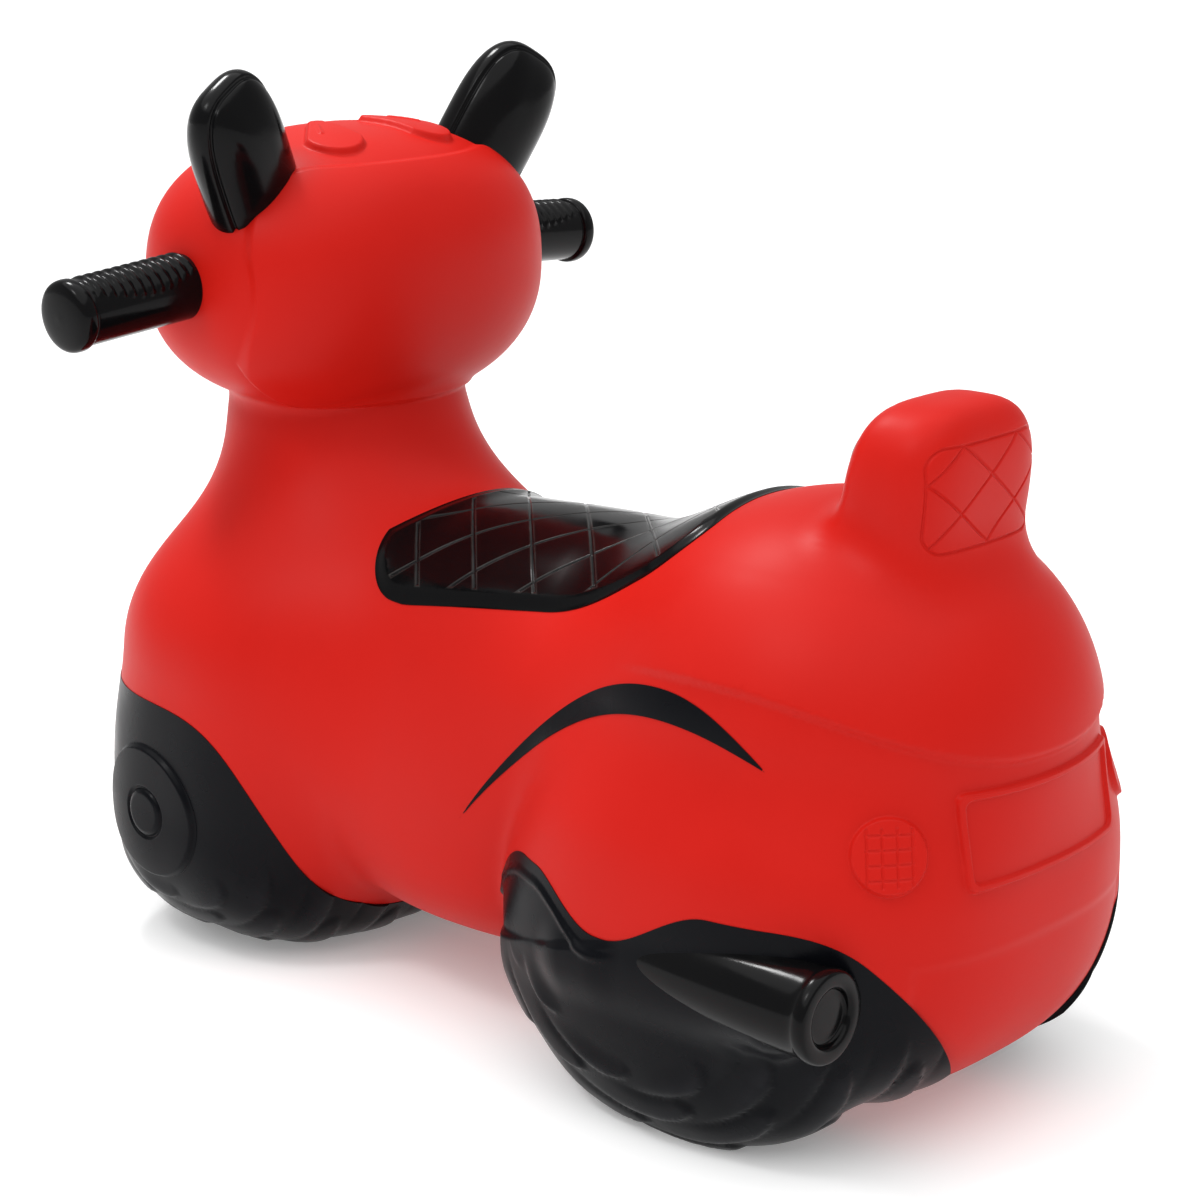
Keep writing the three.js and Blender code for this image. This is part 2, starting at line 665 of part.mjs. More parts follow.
// Exhaust: a silencer that swells from a slim nose to a ringed end with an open mouth
const exhaustLength = EXHAUST_FRONT_X - EXHAUST_REAR_X;
const exhaust = solidOf(turned([
  [0, 0],
  [EXHAUST_NOSE_RADIUS - 3, 0],
  [EXHAUST_NOSE_RADIUS, 3],
  [EXHAUST_RADIUS - 2, exhaustLength * 0.5],
  [EXHAUST_RADIUS, exhaustLength - EXHAUST_RING - 2],
  [EXHAUST_RADIUS + 1, exhaustLength - EXHAUST_RING],
  [EXHAUST_RADIUS + 1, exhaustLength - 2],
  [EXHAUST_RADIUS - 1, exhaustLength],
  [EXHAUST_MOUTH_RADIUS + 1, exhaustLength],
  [EXHAUST_MOUTH_RADIUS, exhaustLength - 1],
  [EXHAUST_MOUTH_RADIUS, exhaustLength - EXHAUST_MOUTH_DEPTH],
  [0, exhaustLength - EXHAUST_MOUTH_DEPTH],
]).rotateZ(quarterTurn).translate(EXHAUST_FRONT_X, EXHAUST_Y, EXHAUST_Z)).subtract(grown);

// Grip: a bar with ribs over its upper half, a groove and a domed end cap
const gripRoot = HEAD_WIDTH / 4;
const gripLength = GRIP_REACH - gripRoot;
const capStart = gripLength - GRIP_CAP_LENGTH;
let gripBar = solidOf(turned([
  [0, 0],
  [GRIP_RADIUS, 0],
  [GRIP_RADIUS, capStart - GRIP_GROOVE],
  [GRIP_RADIUS - GRIP_GROOVE, capStart - GRIP_GROOVE / 2],
  [GRIP_CAP_RADIUS - 1, capStart],
  [GRIP_CAP_RADIUS, capStart + 2],
  [GRIP_CAP_RADIUS, capStart + GRIP_CAP_LENGTH * 0.55],
  [GRIP_CAP_RADIUS * 0.93, capStart + GRIP_CAP_LENGTH * 0.75],
  [GRIP_CAP_RADIUS * 0.7, capStart + GRIP_CAP_LENGTH * 0.92],
  [0, gripLength],
]));
const ribShape = new THREE.Shape();
ribShape.absarc(0, 0, GRIP_RADIUS + RIB_HEIGHT, RIB_START, halfTurn - RIB_START);
ribShape.absarc(0, 0, GRIP_RADIUS - 1, halfTurn - RIB_START, RIB_START, true);
for (let i = 0; i < RIB_COUNT; i += 1) {
  const outerEdge = capStart - GRIP_GROOVE - RIB_PITCH * (i + 0.5);
  gripBar = gripBar.add(prism(ribShape, 'side', outerEdge - RIB_WIDTH, outerEdge, RIB_SEGMENTS));
}
const gripDroop = THREE.MathUtils.degToRad(GRIP_DROOP);
const gripPlaced = geometryOf(gripBar).rotateX(-gripDroop).translate(GRIP_X, gripRoot, GRIP_Z);
const grip = solidOf(gripPlaced).subtract(grown);

// Mirror: an upright lump that leans outwards and back, with a dished face towards the rider
const mirrorForm = block(
  at(0, 0, 0), at(MIRROR_THICKNESS, MIRROR_WIDTH, MIRROR_HEIGHT), MIRROR_SQUARENESS,
);
const dish = new THREE.SphereGeometry(1, 14, 8)
  .scale(MIRROR_RECESS, MIRROR_WIDTH / 2 - MIRROR_RIM, MIRROR_HEIGHT / 2 - MIRROR_RIM)
  .translate(-MIRROR_THICKNESS / 2, 0, 0);
const mirrorShape = loft(mirrorForm, lumpSpine(at(0, 0, 0), LUMP_STEPS), LUMP_ROUND, 0);
const mirrorLump = solidOf(mirrorShape).subtract(solidOf(dish));
const mirrorPlaced = geometryOf(mirrorLump)
  .rotateX(-THREE.MathUtils.degToRad(MIRROR_SPLAY))
  .rotateY(-THREE.MathUtils.degToRad(MIRROR_RAKE))
  .translate(MIRROR_X, MIRROR_Y, MIRROR_Z);
const mirror = solidOf(mirrorPlaced).subtract(grown);

// The assembly
const group = new THREE.Group();
const RED_PVC = { color: 0xcf3f3c, roughness: 0.5, metalness: 0 };
const BLACK_PAINT = { color: 0x2a2a2b, roughness: 0.35, metalness: 0 };
const WHITE_PVC = { color: 0xe8e6e0, roughness: 0.5, metalness: 0 };

function place(name, geometry, finish) {
  const mesh = new THREE.Mesh(geometry, new THREE.MeshStandardMaterial(finish));
  mesh.name = name;
  group.add(mesh);
}

place('body_skin', geometryOf(body), RED_PVC);
place('saddle', geometryOf(saddle), BLACK_PAINT);
place('backrest_pad', geometryOf(backPad), BLACK_PAINT);
place('front_wheel', geometryOf(frontTyre), BLACK_PAINT);
place('valve_plug', geometryOf(plug), WHITE_PVC);
place('exhaust', geometryOf(exhaust), BLACK_PAINT);
const pairs = { rear_wheel: rearTyre, fender_stripe: fenderStripe, front_hub: hub, grip, mirror };
for (const [name, solid] of Object.entries(pairs)) {
  place(`${name}_left`, geometryOf(solid), BLACK_PAINT);
  place(`${name}_right`, mirrored(geometryOf(solid)), BLACK_PAINT);
}

export default group;
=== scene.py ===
import math

import bpy
import numpy as np
from mathutils import Matrix, Vector


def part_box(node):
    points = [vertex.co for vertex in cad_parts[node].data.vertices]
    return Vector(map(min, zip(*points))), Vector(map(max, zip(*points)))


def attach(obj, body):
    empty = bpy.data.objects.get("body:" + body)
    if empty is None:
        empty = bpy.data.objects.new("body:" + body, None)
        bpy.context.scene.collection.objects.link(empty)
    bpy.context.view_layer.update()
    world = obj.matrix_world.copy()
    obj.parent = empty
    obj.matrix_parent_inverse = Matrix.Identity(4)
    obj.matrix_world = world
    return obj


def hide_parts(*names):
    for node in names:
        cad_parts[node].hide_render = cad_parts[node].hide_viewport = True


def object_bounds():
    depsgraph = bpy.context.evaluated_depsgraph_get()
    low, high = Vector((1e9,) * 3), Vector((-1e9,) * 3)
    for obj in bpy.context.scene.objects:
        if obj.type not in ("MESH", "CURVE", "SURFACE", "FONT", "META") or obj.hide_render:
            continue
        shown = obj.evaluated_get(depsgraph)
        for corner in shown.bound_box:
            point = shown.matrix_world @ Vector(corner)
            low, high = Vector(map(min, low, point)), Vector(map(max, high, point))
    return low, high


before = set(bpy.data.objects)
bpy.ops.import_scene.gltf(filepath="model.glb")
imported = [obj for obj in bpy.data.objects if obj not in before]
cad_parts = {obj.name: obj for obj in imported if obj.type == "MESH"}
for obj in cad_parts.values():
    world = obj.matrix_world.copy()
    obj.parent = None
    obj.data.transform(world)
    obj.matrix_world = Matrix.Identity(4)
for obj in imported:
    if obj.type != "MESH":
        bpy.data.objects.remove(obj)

cad_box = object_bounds()
scene = bpy.context.scene
MM = 0.001

# Studio: a white light table under a broad soft sky of light, with two softboxes for the highlights.
# The camera stands behind the toy's left shoulder, a little above it, with a long lens.
FLOOR_SIZE = 40.0
TABLE_WHITE = "#F6F6F6"
TABLE_GLOW = 0.2
CAMERA_AT = Vector((-0.9369, 1.0406, 0.6059))
CAMERA_YAW = math.radians(48.2)
CAMERA_PITCH = math.radians(16)
LENS = 90
ROOM_LIGHT = 0.5
SKY_FROM = Vector((-0.1, 0.2, 1.3))
SKY_SPREAD = math.radians(95)
SKY_POWER = 2.3
OVERHEAD_AT = Vector((0.65, -0.05, 1.25))
OVERHEAD_SIZE = 0.2
OVERHEAD_POWER = 6
SIDE_AT = Vector((0.2, 1.05, 1.5))
SIDE_SIZE = 0.3
SIDE_POWER = 4


def linear(colour):
    """An sRGB hex colour as linear red, green, blue and alpha."""
    parts = [int(colour[i:i + 2], 16) / 255 for i in (1, 3, 5)]
    return [c / 12.92 if c <= 0.04045 else ((c + 0.055) / 1.055) ** 2.4 for c in parts] + [1.0]


def add_node(material, kind, settings=None, **links):
    """Adds a shader node, sets its properties or sockets by name, and links its named sockets."""
    node = material.node_tree.nodes.new(kind)
    for name, value in (settings or {}).items():
        if name in node.inputs:
            node.inputs[name].default_value = value
        else:
            setattr(node, name, value)
    for name, source in links.items():
        material.node_tree.links.new(source, node.inputs[name.replace("_", " ")])
    return node


def new_material(name):
    """An empty node material and its surface socket."""
    material = bpy.data.materials.new(name)
    material.use_nodes = True
    material.node_tree.nodes.clear()
    output = material.node_tree.nodes.new("ShaderNodeOutputMaterial")
    return material, output.inputs["Surface"]


def add_light(name, place, size, power, target):
    """A square softbox that faces a point."""
    data = bpy.data.lights.new(name, "AREA")
    data.size = size
    data.energy = power
    lamp = bpy.data.objects.new(name, data)
    lamp.location = place
    lamp.rotation_euler = (target - place).to_track_quat("-Z", "Y").to_euler()
    scene.collection.objects.link(lamp)


# Opal acrylic: matt white, lit faintly from below so that shadows on it stay pale.
table, table_surface = new_material("opal_acrylic")
table_matt = add_node(table, "ShaderNodeBsdfDiffuse", {"Color": linear(TABLE_WHITE), "Roughness": 1.0})
table_glow = add_node(table, "ShaderNodeEmission", {"Color": linear(TABLE_WHITE), "Strength": TABLE_GLOW})
table_shader = add_node(table, "ShaderNodeAddShader")
table.node_tree.links.new(table_matt.outputs[0], table_shader.inputs[0])
table.node_tree.links.new(table_glow.outputs[0], table_shader.inputs[1])
table.node_tree.links.new(table_shader.outputs[0], table_surface)
floor_mesh = bpy.data.meshes.new("floor")
reach = FLOOR_SIZE / 2
floor_mesh.from_pydata(
    [(-reach, -reach, 0), (reach, -reach, 0), (reach, reach, 0), (-reach, reach, 0)], [], [(0, 1, 2, 3)]
)
floor_mesh.materials.append(table)
floor = bpy.data.objects.new("floor", floor_mesh)
scene.collection.objects.link(floor)

toy_middle = (cad_box[0] + cad_box[1]) / 2
add_light("overhead_softbox", OVERHEAD_AT, OVERHEAD_SIZE, OVERHEAD_POWER, toy_middle)
add_light("side_softbox", SIDE_AT, SIDE_SIZE, SIDE_POWER, toy_middle)
sky_data = bpy.data.lights.new("sky", "SUN")
sky_data.angle = SKY_SPREAD
sky_data.energy = SKY_POWER
sky = bpy.data.objects.new("sky", sky_data)
sky.rotation_euler = (-SKY_FROM).to_track_quat("-Z", "Y").to_euler()
scene.collection.objects.link(sky)
world = bpy.data.worlds.new("white_room")
world.use_nodes = True
world.node_tree.nodes["Background"].inputs["Color"].default_value = (1, 1, 1, 1)
world.node_tree.nodes["Background"].inputs["Strength"].default_value = ROOM_LIGHT
scene.world = world
scene.view_settings.view_transform = "Standard"

camera_data = bpy.data.cameras.new("camera")
camera_data.lens = LENS
camera = bpy.data.objects.new("camera", camera_data)
camera.location = CAMERA_AT
sight = Vector((
    math.cos(CAMERA_YAW) * math.cos(CAMERA_PITCH),
    -math.sin(CAMERA_YAW) * math.cos(CAMERA_PITCH),
    -math.sin(CAMERA_PITCH),
))
camera.rotation_euler = sight.to_track_quat("-Z", "Y").to_euler()
scene.collection.objects.link(camera)
scene.camera = camera

# Blown skin: one hollow of soft PVC, rotomoulded in a single mould and filled with air, so every
# swelling runs into the next. Dials, tail lamps, number board and lattice are moulded into it.
# Its form is worked in millimetres as a distance to the surface, and a fine mesh is settled on it.
REAR = ((-161, 0, 181), (216, 216, 208), 2.1)
SKIRT = ((-146, 0, 110), (250, 254, 192), 2.6)
REAR_WHEEL = ((-133, 82, 82), (208, 92, 170), 2.1)
BELLY = ((30, 0, 105), (240, 190, 140), 2.5)
CHEST = ((173, 0, 150), (194, 240, 172), 2.3)
FRONT_WHEEL = ((183.5, 0, 79.5), (174, 240, 165), 2.7)
HEAD = ((167, 0, 351), (158, 210, 140), 2.4)
BACKREST = ((-201, 0, 280), (56, 92, 110), 3.4)
BACKREST_LEAN = 0.12
WAIST = ((-103, 0, 163), (127, 0, 152), 87.5, 87.5, 1.05)
NECK = ((157, 0, 170), (172, 0, 320), 84, 53, 1.0)
WAIST_FILLET = 40
BELLY_FILLET = 30
CHEST_FILLET = 50
FRONT_WHEEL_FILLET = 25
NECK_FILLET = 35
SKIRT_FILLET = 16
REAR_WHEEL_FILLET = 12
HEAD_FILLET = 8
BACKREST_FILLET = 18
FLOOR_GAP = 0.6
SKIN_CELL = 3.0
SKIN_MARGIN = 12
COARSE = 4
NEAR_BLOCKS = 1.3
SLOPE_STEP = 0.4
SETTLE_ROUNDS = 3
REFINE_ROUNDS = 4
LONG_EDGE = 1.5
EDGE_STEPS = 3
SPACING_GROWTH = 0.5
RED_LIT = "#C41B12"
RED_DEEP = "#BA160E"
BLOOM_SIZE = 90
RED_GRAIN = 1.6
HEAD_PANEL_HALF = (96.5, 59)
HEAD_PANEL_MIDDLE = 348.5
HEAD_PANEL_CORNER = 44
HEAD_PANEL_DEPTH = (60, 144)
DIAL_ROUND = (141, 30, 14.5)
DIAL_TIP = (166, 18, 5)
DIAL_NEEDLE = ((147, 33), (159, 24), 1.0)
DIAL_FLOOR = 385
COWL_SIDE = 221
COWL_REAR = 189
COWL_HALF = 105
COWL_START = -98
COWL_FADE = 55
COWL_BEND = 2.5
COWL_STEP = 4
COWL_CROWN = 60
COWL_HEIGHT = 2.8
COWL_EDGE = 6.0
BUMPER_LINE = 107
BUMPER_FRONT = -225
BUMPER_HALF = 80
LAMP = (-242, 82.5, 156.5)
LAMP_RADIUS = 16.5
LAMP_BAR = (6.4, 6.0)
LAMP_GRID_HALF = (10.4, 12.0)
LAMP_GRID_CORNER = 1
BOARD_HALF = (55, 21.5)
BOARD_MIDDLE = 158.5
BOARD_FRAME = 3.2
BOARD_CORNER = 4
BOARD_FRONT = -215
LATTICE_HALF = (39, 23)
LATTICE_MIDDLE = 297
LATTICE_STEP = 30
LATTICE_SLOPE = 0.78
LATTICE_START = 305
LATTICE_CORNER = 10
LATTICE_BEHIND = 8
GROOVE = 1.0
VALVE_X = 20
VALVE_SEAT_RADIUS = 9
VALVE_BORE_RADIUS = 4.3
VALVE_SEAT_DEPTH = 2.2
VALVE_BORE_DEPTH = 18
VALVE_TIP_SHARE = 0.4
VALVE_TIP = 1
SLACK_HEIGHT = 0.35
SLACK_WAVES = (17, 19, 23)
SLACK_DRIFT = (29, 41)


def block(p, centre, size, power):
    """Distance from points to a block with swollen faces, negative inside."""
    half = np.array(size) / 2
    q = np.abs(p - np.array(centre)) / half + 1e-9
    spread = (q ** power).sum(1) ** (1 / power)
    slope = np.sqrt((((q / spread[:, None]) ** (power - 1) / half) ** 2).sum(1))
    return (spread - 1) / slope


def limb(p, start, end, start_radius, end_radius, flatness):
    """Distance from points to a tapered round limb."""
    q = p * (1, 1 / flatness, 1) - np.array(start)
    along = np.array(end) - np.array(start)
    t = np.clip(q @ along / (along @ along), 0, 1)
    return np.linalg.norm(q - t[:, None] * along, axis=1) - start_radius - (end_radius - start_radius) * t


def melt(a, b, radius):
    """Two forms run into one with a fillet."""
    h = np.clip(0.5 + 0.5 * (b - a) / radius, 0, 1)
    return b + (a - b) * h - radius * h * (1 - h)


def left_half(p):
    """Points brought over to the toy's left."""
    return p * (1, 0, 1) + np.abs(p) * (0, 1, 0)


def skin_form(p):
    """Distance from points to the blown skin."""
    leaning = p + (p[:, 2:] - BACKREST[0][2]) * (BACKREST_LEAN, 0, 0)
    form = melt(block(p, *REAR), limb(p, *WAIST), WAIST_FILLET)
    form = melt(form, block(p, *BELLY), BELLY_FILLET)
    form = melt(form, block(p, *CHEST), CHEST_FILLET)
    form = melt(form, block(p, *FRONT_WHEEL), FRONT_WHEEL_FILLET)
    form = melt(form, limb(p, *NECK), NECK_FILLET)
    form = melt(form, block(p, *SKIRT), SKIRT_FILLET)
    form = melt(form, block(left_half(p), *REAR_WHEEL), REAR_WHEEL_FILLET)
    form = melt(form, block(p, *HEAD), HEAD_FILLET)
    return melt(form, block(leaning, *BACKREST), BACKREST_FILLET)


def slope_of(form, p):
    """Gradient of a form at points."""
    sides = np.eye(3) * SLOPE_STEP
    return np.stack([(form(p + s) - form(p - s)) / (2 * SLOPE_STEP) for s in sides], axis=1)


def settle(form, p):
    """Points moved onto the surface, and their normals."""
    for _ in range(SETTLE_ROUNDS):
        slope = slope_of(form, p)
        p = p - slope * (form(p) / (slope ** 2).sum(1))[:, None]
    slope = slope_of(form, p)
    return p, slope / np.linalg.norm(slope, axis=1)[:, None]


def net(form, low, high, cell):
    """A closed triangle mesh round a form: one point in each grid cell that the surface crosses."""
    low = np.array(low, float)
    counts = (np.ceil((np.array(high) - low) / cell / COARSE) * COARSE).astype(int)
    axes = [low[i] + cell * np.arange(counts[i]) for i in range(3)]
    grid = np.stack(np.meshgrid(*axes, indexing="ij"), axis=-1)
    block_middle = grid[::COARSE, ::COARSE, ::COARSE] + cell * (COARSE - 1) / 2
    rough = form(block_middle.reshape(-1, 3)).reshape(block_middle.shape[:3])
    value = rough.repeat(COARSE, 0).repeat(COARSE, 1).repeat(COARSE, 2)
    near = np.abs(value) < NEAR_BLOCKS * COARSE * cell
    value[near] = form(grid[near])
    inside = value < 0
    total = np.zeros(tuple(counts - 1) + (3,))
    crossings = np.zeros(tuple(counts - 1))
    corners = [(i, j, k) for i in (0, 1) for j in (0, 1) for k in (0, 1)]

    def shifted(array, corner):
        return array[tuple(slice(c, c + n - 1) for c, n in zip(corner, counts))]

    for a in corners:
        for b in corners:
            if a < b and sum(abs(i - j) for i, j in zip(a, b)) == 1:
                at_a, at_b = shifted(value, a), shifted(value, b)
                crossed = (at_a < 0) != (at_b < 0)
                t = np.where(crossed, at_a / np.where(crossed, at_a - at_b, 1), 0)
                place = np.array(a) + t[..., None] * (np.array(b) - np.array(a))
                total += np.where(crossed[..., None], place, 0)
                crossings += crossed
    used = crossings > 0
    index = np.full(used.shape, -1)
    index[used] = np.arange(used.sum())
    points = low + cell * (np.argwhere(used) + total[used] / crossings[used][:, None])
    triangles = []
    for axis in range(3):
        first, second = (axis + 1) % 3, (axis + 2) % 3
        start = [slice(1, n - 1) for n in counts]
        start[axis] = slice(0, counts[axis] - 1)
        end = list(start)
        end[axis] = slice(1, counts[axis])
        here, there = inside[tuple(start)], inside[tuple(end)]
        cells = np.argwhere(here != there) + np.array([int(k != axis) for k in range(3)])
        ring = []
        for back_first, back_second in ((1, 1), (0, 1), (0, 0), (1, 0)):
            beside = cells.copy()
            beside[:, first] -= back_first
            beside[:, second] -= back_second
            ring.append(index[tuple(beside.T)])
        quads = np.stack(ring, axis=1)
        entering = ~here[here != there]
        quads[entering] = quads[entering][:, ::-1]
        triangles += [quads[:, [0, 1, 2]], quads[:, [0, 2, 3]]]
    return points, np.concatenate(triangles)


def cut(points, triangles, value):
    """The part of a mesh where a value is negative, cut along its zero line."""
    kept = value[triangles] < 0
    count = kept.sum(1)
    whole = triangles[count == 3]
    one, two = triangles[count == 1], triangles[count == 2]
    lone_one = kept[count == 1].argmax(1)
    lone_two = (~kept[count == 2]).argmax(1)
    one = one[np.arange(len(one))[:, None], (lone_one[:, None] + np.arange(3)) % 3]
    two = two[np.arange(len(two))[:, None], (lone_two[:, None] + np.arange(3)) % 3]
    crossed = np.concatenate([one[:, [0, 1]], one[:, [0, 2]], two[:, [0, 1]], two[:, [0, 2]]])
    ends, where = np.unique(np.sort(crossed, axis=1), axis=0, return_inverse=True)
    t = value[ends[:, 0]] / (value[ends[:, 0]] - value[ends[:, 1]])
    fresh = points[ends[:, 0]] + t[:, None] * (points[ends[:, 1]] - points[ends[:, 0]])
    where = where.ravel() + len(points)
    one_b, one_c, two_b, two_c = np.split(where, np.cumsum([len(one), len(one), len(two)]))
    triangles = np.concatenate([
        whole,
        np.stack([one[:, 0], one_b, one_c], axis=1),
        np.stack([two_b, two[:, 1], two[:, 2]], axis=1),
        np.stack([two_b, two[:, 2], two_c], axis=1),
    ])
    points = np.concatenate([points, fresh])
    used, triangles = np.unique(triangles, return_inverse=True)
    return points[used], triangles.reshape(-1, 3)


def refine(form, points, triangles, spacing):
    """Halves edges until none is longer than the spacing asked for at its middle."""
    for _ in range(REFINE_ROUNDS):
        pairs = np.sort(triangles[:, [0, 1, 1, 2, 2, 0]].reshape(-1, 2), axis=1)
        keys, where = np.unique(pairs[:, 0] * len(points) + pairs[:, 1], return_inverse=True)
        ends = np.stack([keys // len(points), keys % len(points)], axis=1)
        middle = points[ends].mean(1)
        length = np.linalg.norm(points[ends[:, 0]] - points[ends[:, 1]], axis=1)
        split = length > LONG_EDGE * spacing(middle)
        if not split.any():
            break
        fresh = np.full(len(ends), -1)
        fresh[split] = len(points) + np.arange(split.sum())
        points = np.concatenate([points, settle(form, middle[split])[0]])
        halves = fresh[where.reshape(-1, 3)]
        count = (halves >= 0).sum(1)
        turn = np.where(count == 1, (halves >= 0).argmax(1), ((halves < 0).argmax(1) + 1) % 3)
        order = (turn[:, None] + np.arange(3)) % 3
        row = np.arange(len(triangles))[:, None]
        a, b, c = triangles[row, order].T
        ab, bc, ca = halves[row, order].T
        made = [triangles[count == 0]]
        for number, faces in (
            (1, ((a, ab, c), (ab, b, c))),
            (2, ((ab, b, bc), (a, ab, bc), (a, bc, c))),
            (3, ((a, ab, ca), (ab, b, bc), (ca, bc, c), (ab, bc, ca))),
        ):
            made += [np.stack(face, axis=1)[count == number] for face in faces]
        triangles = np.concatenate(made)
    return points, triangles


def ease(t):
    """A smooth step from 0 to 1."""
    t = np.clip(t, 0, 1)
    return t * t * (3 - 2 * t)


def lift_of(p, reliefs):
    """Height of moulded relief at points: each outline is raised, with a soft edge."""
    lift = np.zeros(len(p))
    for outline, height, edge in reliefs:
        lift += height * ease(0.5 - outline(p) / edge)
    return lift


def spacing_of(p, reliefs, coarse):
    """Edge length that the relief needs at points."""
    size = np.full(len(p), float(coarse))
    for outline, _, edge in reliefs:
        away = SPACING_GROWTH * (np.abs(outline(p)) - edge)
        size = np.minimum(size, np.maximum(edge / EDGE_STEPS, away))
    return size


def rounded(u, v, half, corner):
    """Distance to an upright rectangle with round corners."""
    qu, qv = np.abs(u) - half[0] + corner, np.abs(v) - half[1] + corner
    return np.hypot(np.maximum(qu, 0), np.maximum(qv, 0)) + np.minimum(np.maximum(qu, qv), 0) - corner


def head_panel(p):
    panel = rounded(p[:, 1], p[:, 2] - HEAD_PANEL_MIDDLE, HEAD_PANEL_HALF, HEAD_PANEL_CORNER)
    return np.maximum.reduce([panel, HEAD_PANEL_DEPTH[0] - p[:, 0], p[:, 0] - HEAD_PANEL_DEPTH[1]])


def drop(p, start, end, start_radius, end_radius):
    """Distance in plan to a drop or bar on the head, the same on both sides."""
    q = np.stack([p[:, 0], np.abs(p[:, 1])], axis=1) - np.array(start)
    along = np.array(end) - np.array(start)
    t = np.clip(q @ along / (along @ along), 0, 1)
    plan = np.linalg.norm(q - t[:, None] * along, axis=1) - start_radius - (end_radius - start_radius) * t
    return np.maximum(plan, DIAL_FLOOR - p[:, 2])


def dials(p):
    return drop(p, DIAL_ROUND[:2], DIAL_TIP[:2], DIAL_ROUND[2], DIAL_TIP[2])


def needles(p):
    start, end, half = DIAL_NEEDLE
    return drop(p, start, end, half, half / 2)


def cowl(p):
    line = COWL_REAR + (COWL_SIDE - COWL_REAR) * np.clip(np.abs(p[:, 1]) / COWL_HALF, 0, 1) ** COWL_BEND
    return line - p[:, 2]


def bumper(p):
    return np.maximum.reduce([p[:, 2] - BUMPER_LINE, p[:, 0] - BUMPER_FRONT, np.abs(p[:, 1]) - BUMPER_HALF])


def lamps(p):
    q = left_half(p) - np.array(LAMP)
    return np.linalg.norm(q, axis=1) - LAMP_RADIUS


def lamp_bars(p):
    q = left_half(p) - np.array(LAMP)
    across = (q[:, 0] + q[:, 1]) * math.sqrt(0.5)
    bars = np.abs(np.stack([across, q[:, 2]], axis=1) / LAMP_BAR % 1 - 0.5) * LAMP_BAR
    grid = rounded(across, q[:, 2], LAMP_GRID_HALF, LAMP_GRID_CORNER)
    return np.maximum.reduce([bars.min(1) - GROOVE / 2, grid, np.linalg.norm(q, axis=1) - LAMP_RADIUS])


def board(p, inset):
    half = (BOARD_HALF[0] - inset, BOARD_HALF[1] - inset)
    plan = rounded(p[:, 1], p[:, 2] - BOARD_MIDDLE, half, BOARD_CORNER)
    return np.maximum(plan, p[:, 0] - BOARD_FRONT)


def lattice(p):
    y, z = p[:, 1], p[:, 2]
    border = rounded(y, z - LATTICE_MIDDLE, LATTICE_HALF, LATTICE_CORNER)
    rising = (z - LATTICE_SLOPE * y - LATTICE_START) / LATTICE_STEP
    falling = (z + LATTICE_SLOPE * y - LATTICE_START) / LATTICE_STEP
    steep = math.hypot(1, LATTICE_SLOPE)
    lines = [np.abs((line + 0.5) % 1 - 0.5) * LATTICE_STEP / steep for line in (rising, falling)]
    crossing = np.maximum(np.minimum(*lines), border)
    drawn = np.minimum(crossing, np.abs(border)) - GROOVE / 2
    return np.maximum(drawn, p[:, 0] - BACKREST[0][0] + LATTICE_BEHIND)


# Each relief's outline, its height and the width of its soft edge, in millimetres.
SKIN_RELIEF = [
    (head_panel, 2.4, 2.6),
    (dials, 3.0, 2.6),
    (needles, 0.8, 1.6),
    (bumper, -1.2, 6.0),
    (lamps, 2.6, 1.8),
    (lamp_bars, -0.6, 0.9),
    (lambda p: board(p, 0), 2.6, 1.6),
    (lambda p: board(p, BOARD_FRAME), -1.8, 1.2),
    (lattice, -0.8, 0.9),
]


def cowl_lift(p):
    """The rear body stands proud above the cowl line and dies away over its crown and to the front."""
    above = -cowl(p)
    away = np.clip(1 - above / COWL_CROWN, 0, 1) * np.clip((COWL_START - p[:, 0]) / COWL_FADE, 0, 1)
    return COWL_HEIGHT * ease(0.5 + above / COWL_STEP) * away


def slack(p):
    """Faint unevenness of a soft skin, a few centimetres from swell to swell."""
    x, y, z = p.T
    along = np.sin(x / SLACK_WAVES[0] + 1.3 * np.sin(z / SLACK_DRIFT[0]))
    across = np.sin(y / SLACK_WAVES[1] + 0.4)
    return SLACK_HEIGHT * along * across * np.sin(z / SLACK_WAVES[2] + x / SLACK_DRIFT[1])


def edge_pairs(triangles):
    """Directed edges of a mesh that have no neighbour on the other side."""
    pairs = triangles[:, [0, 1, 1, 2, 2, 0]].reshape(-1, 2)
    size = triangles.max() + 1
    keys = pairs[:, 0] * size + pairs[:, 1]
    return pairs[~np.isin(keys, pairs[:, 1] * size + pairs[:, 0])]


def add_object(name, points, triangles, material, wear_and_highlight=None, crease=75):
    """A smooth shaded object from points in millimetres, with an optional value for each: rubbing wear and
    painted highlight.
    """
    mesh = bpy.data.meshes.new(name)
    mesh.from_pydata((points * MM).tolist(), [], triangles.tolist())
    mesh.materials.append(material)
    mesh.shade_smooth()
    mesh.set_sharp_from_angle(angle=math.radians(crease))
    if wear_and_highlight is not None:
        mesh.attributes.new("wear_and_highlight", "FLOAT", "POINT").data.foreach_set("value", wear_and_highlight.astype(np.float32))
    made = bpy.data.objects.new(name, mesh)
    scene.collection.objects.link(made)
    return made


def scale_of(millimetres):
    """Texture scale for a pattern whose features are this far apart."""
    return 1 / (millimetres * MM)


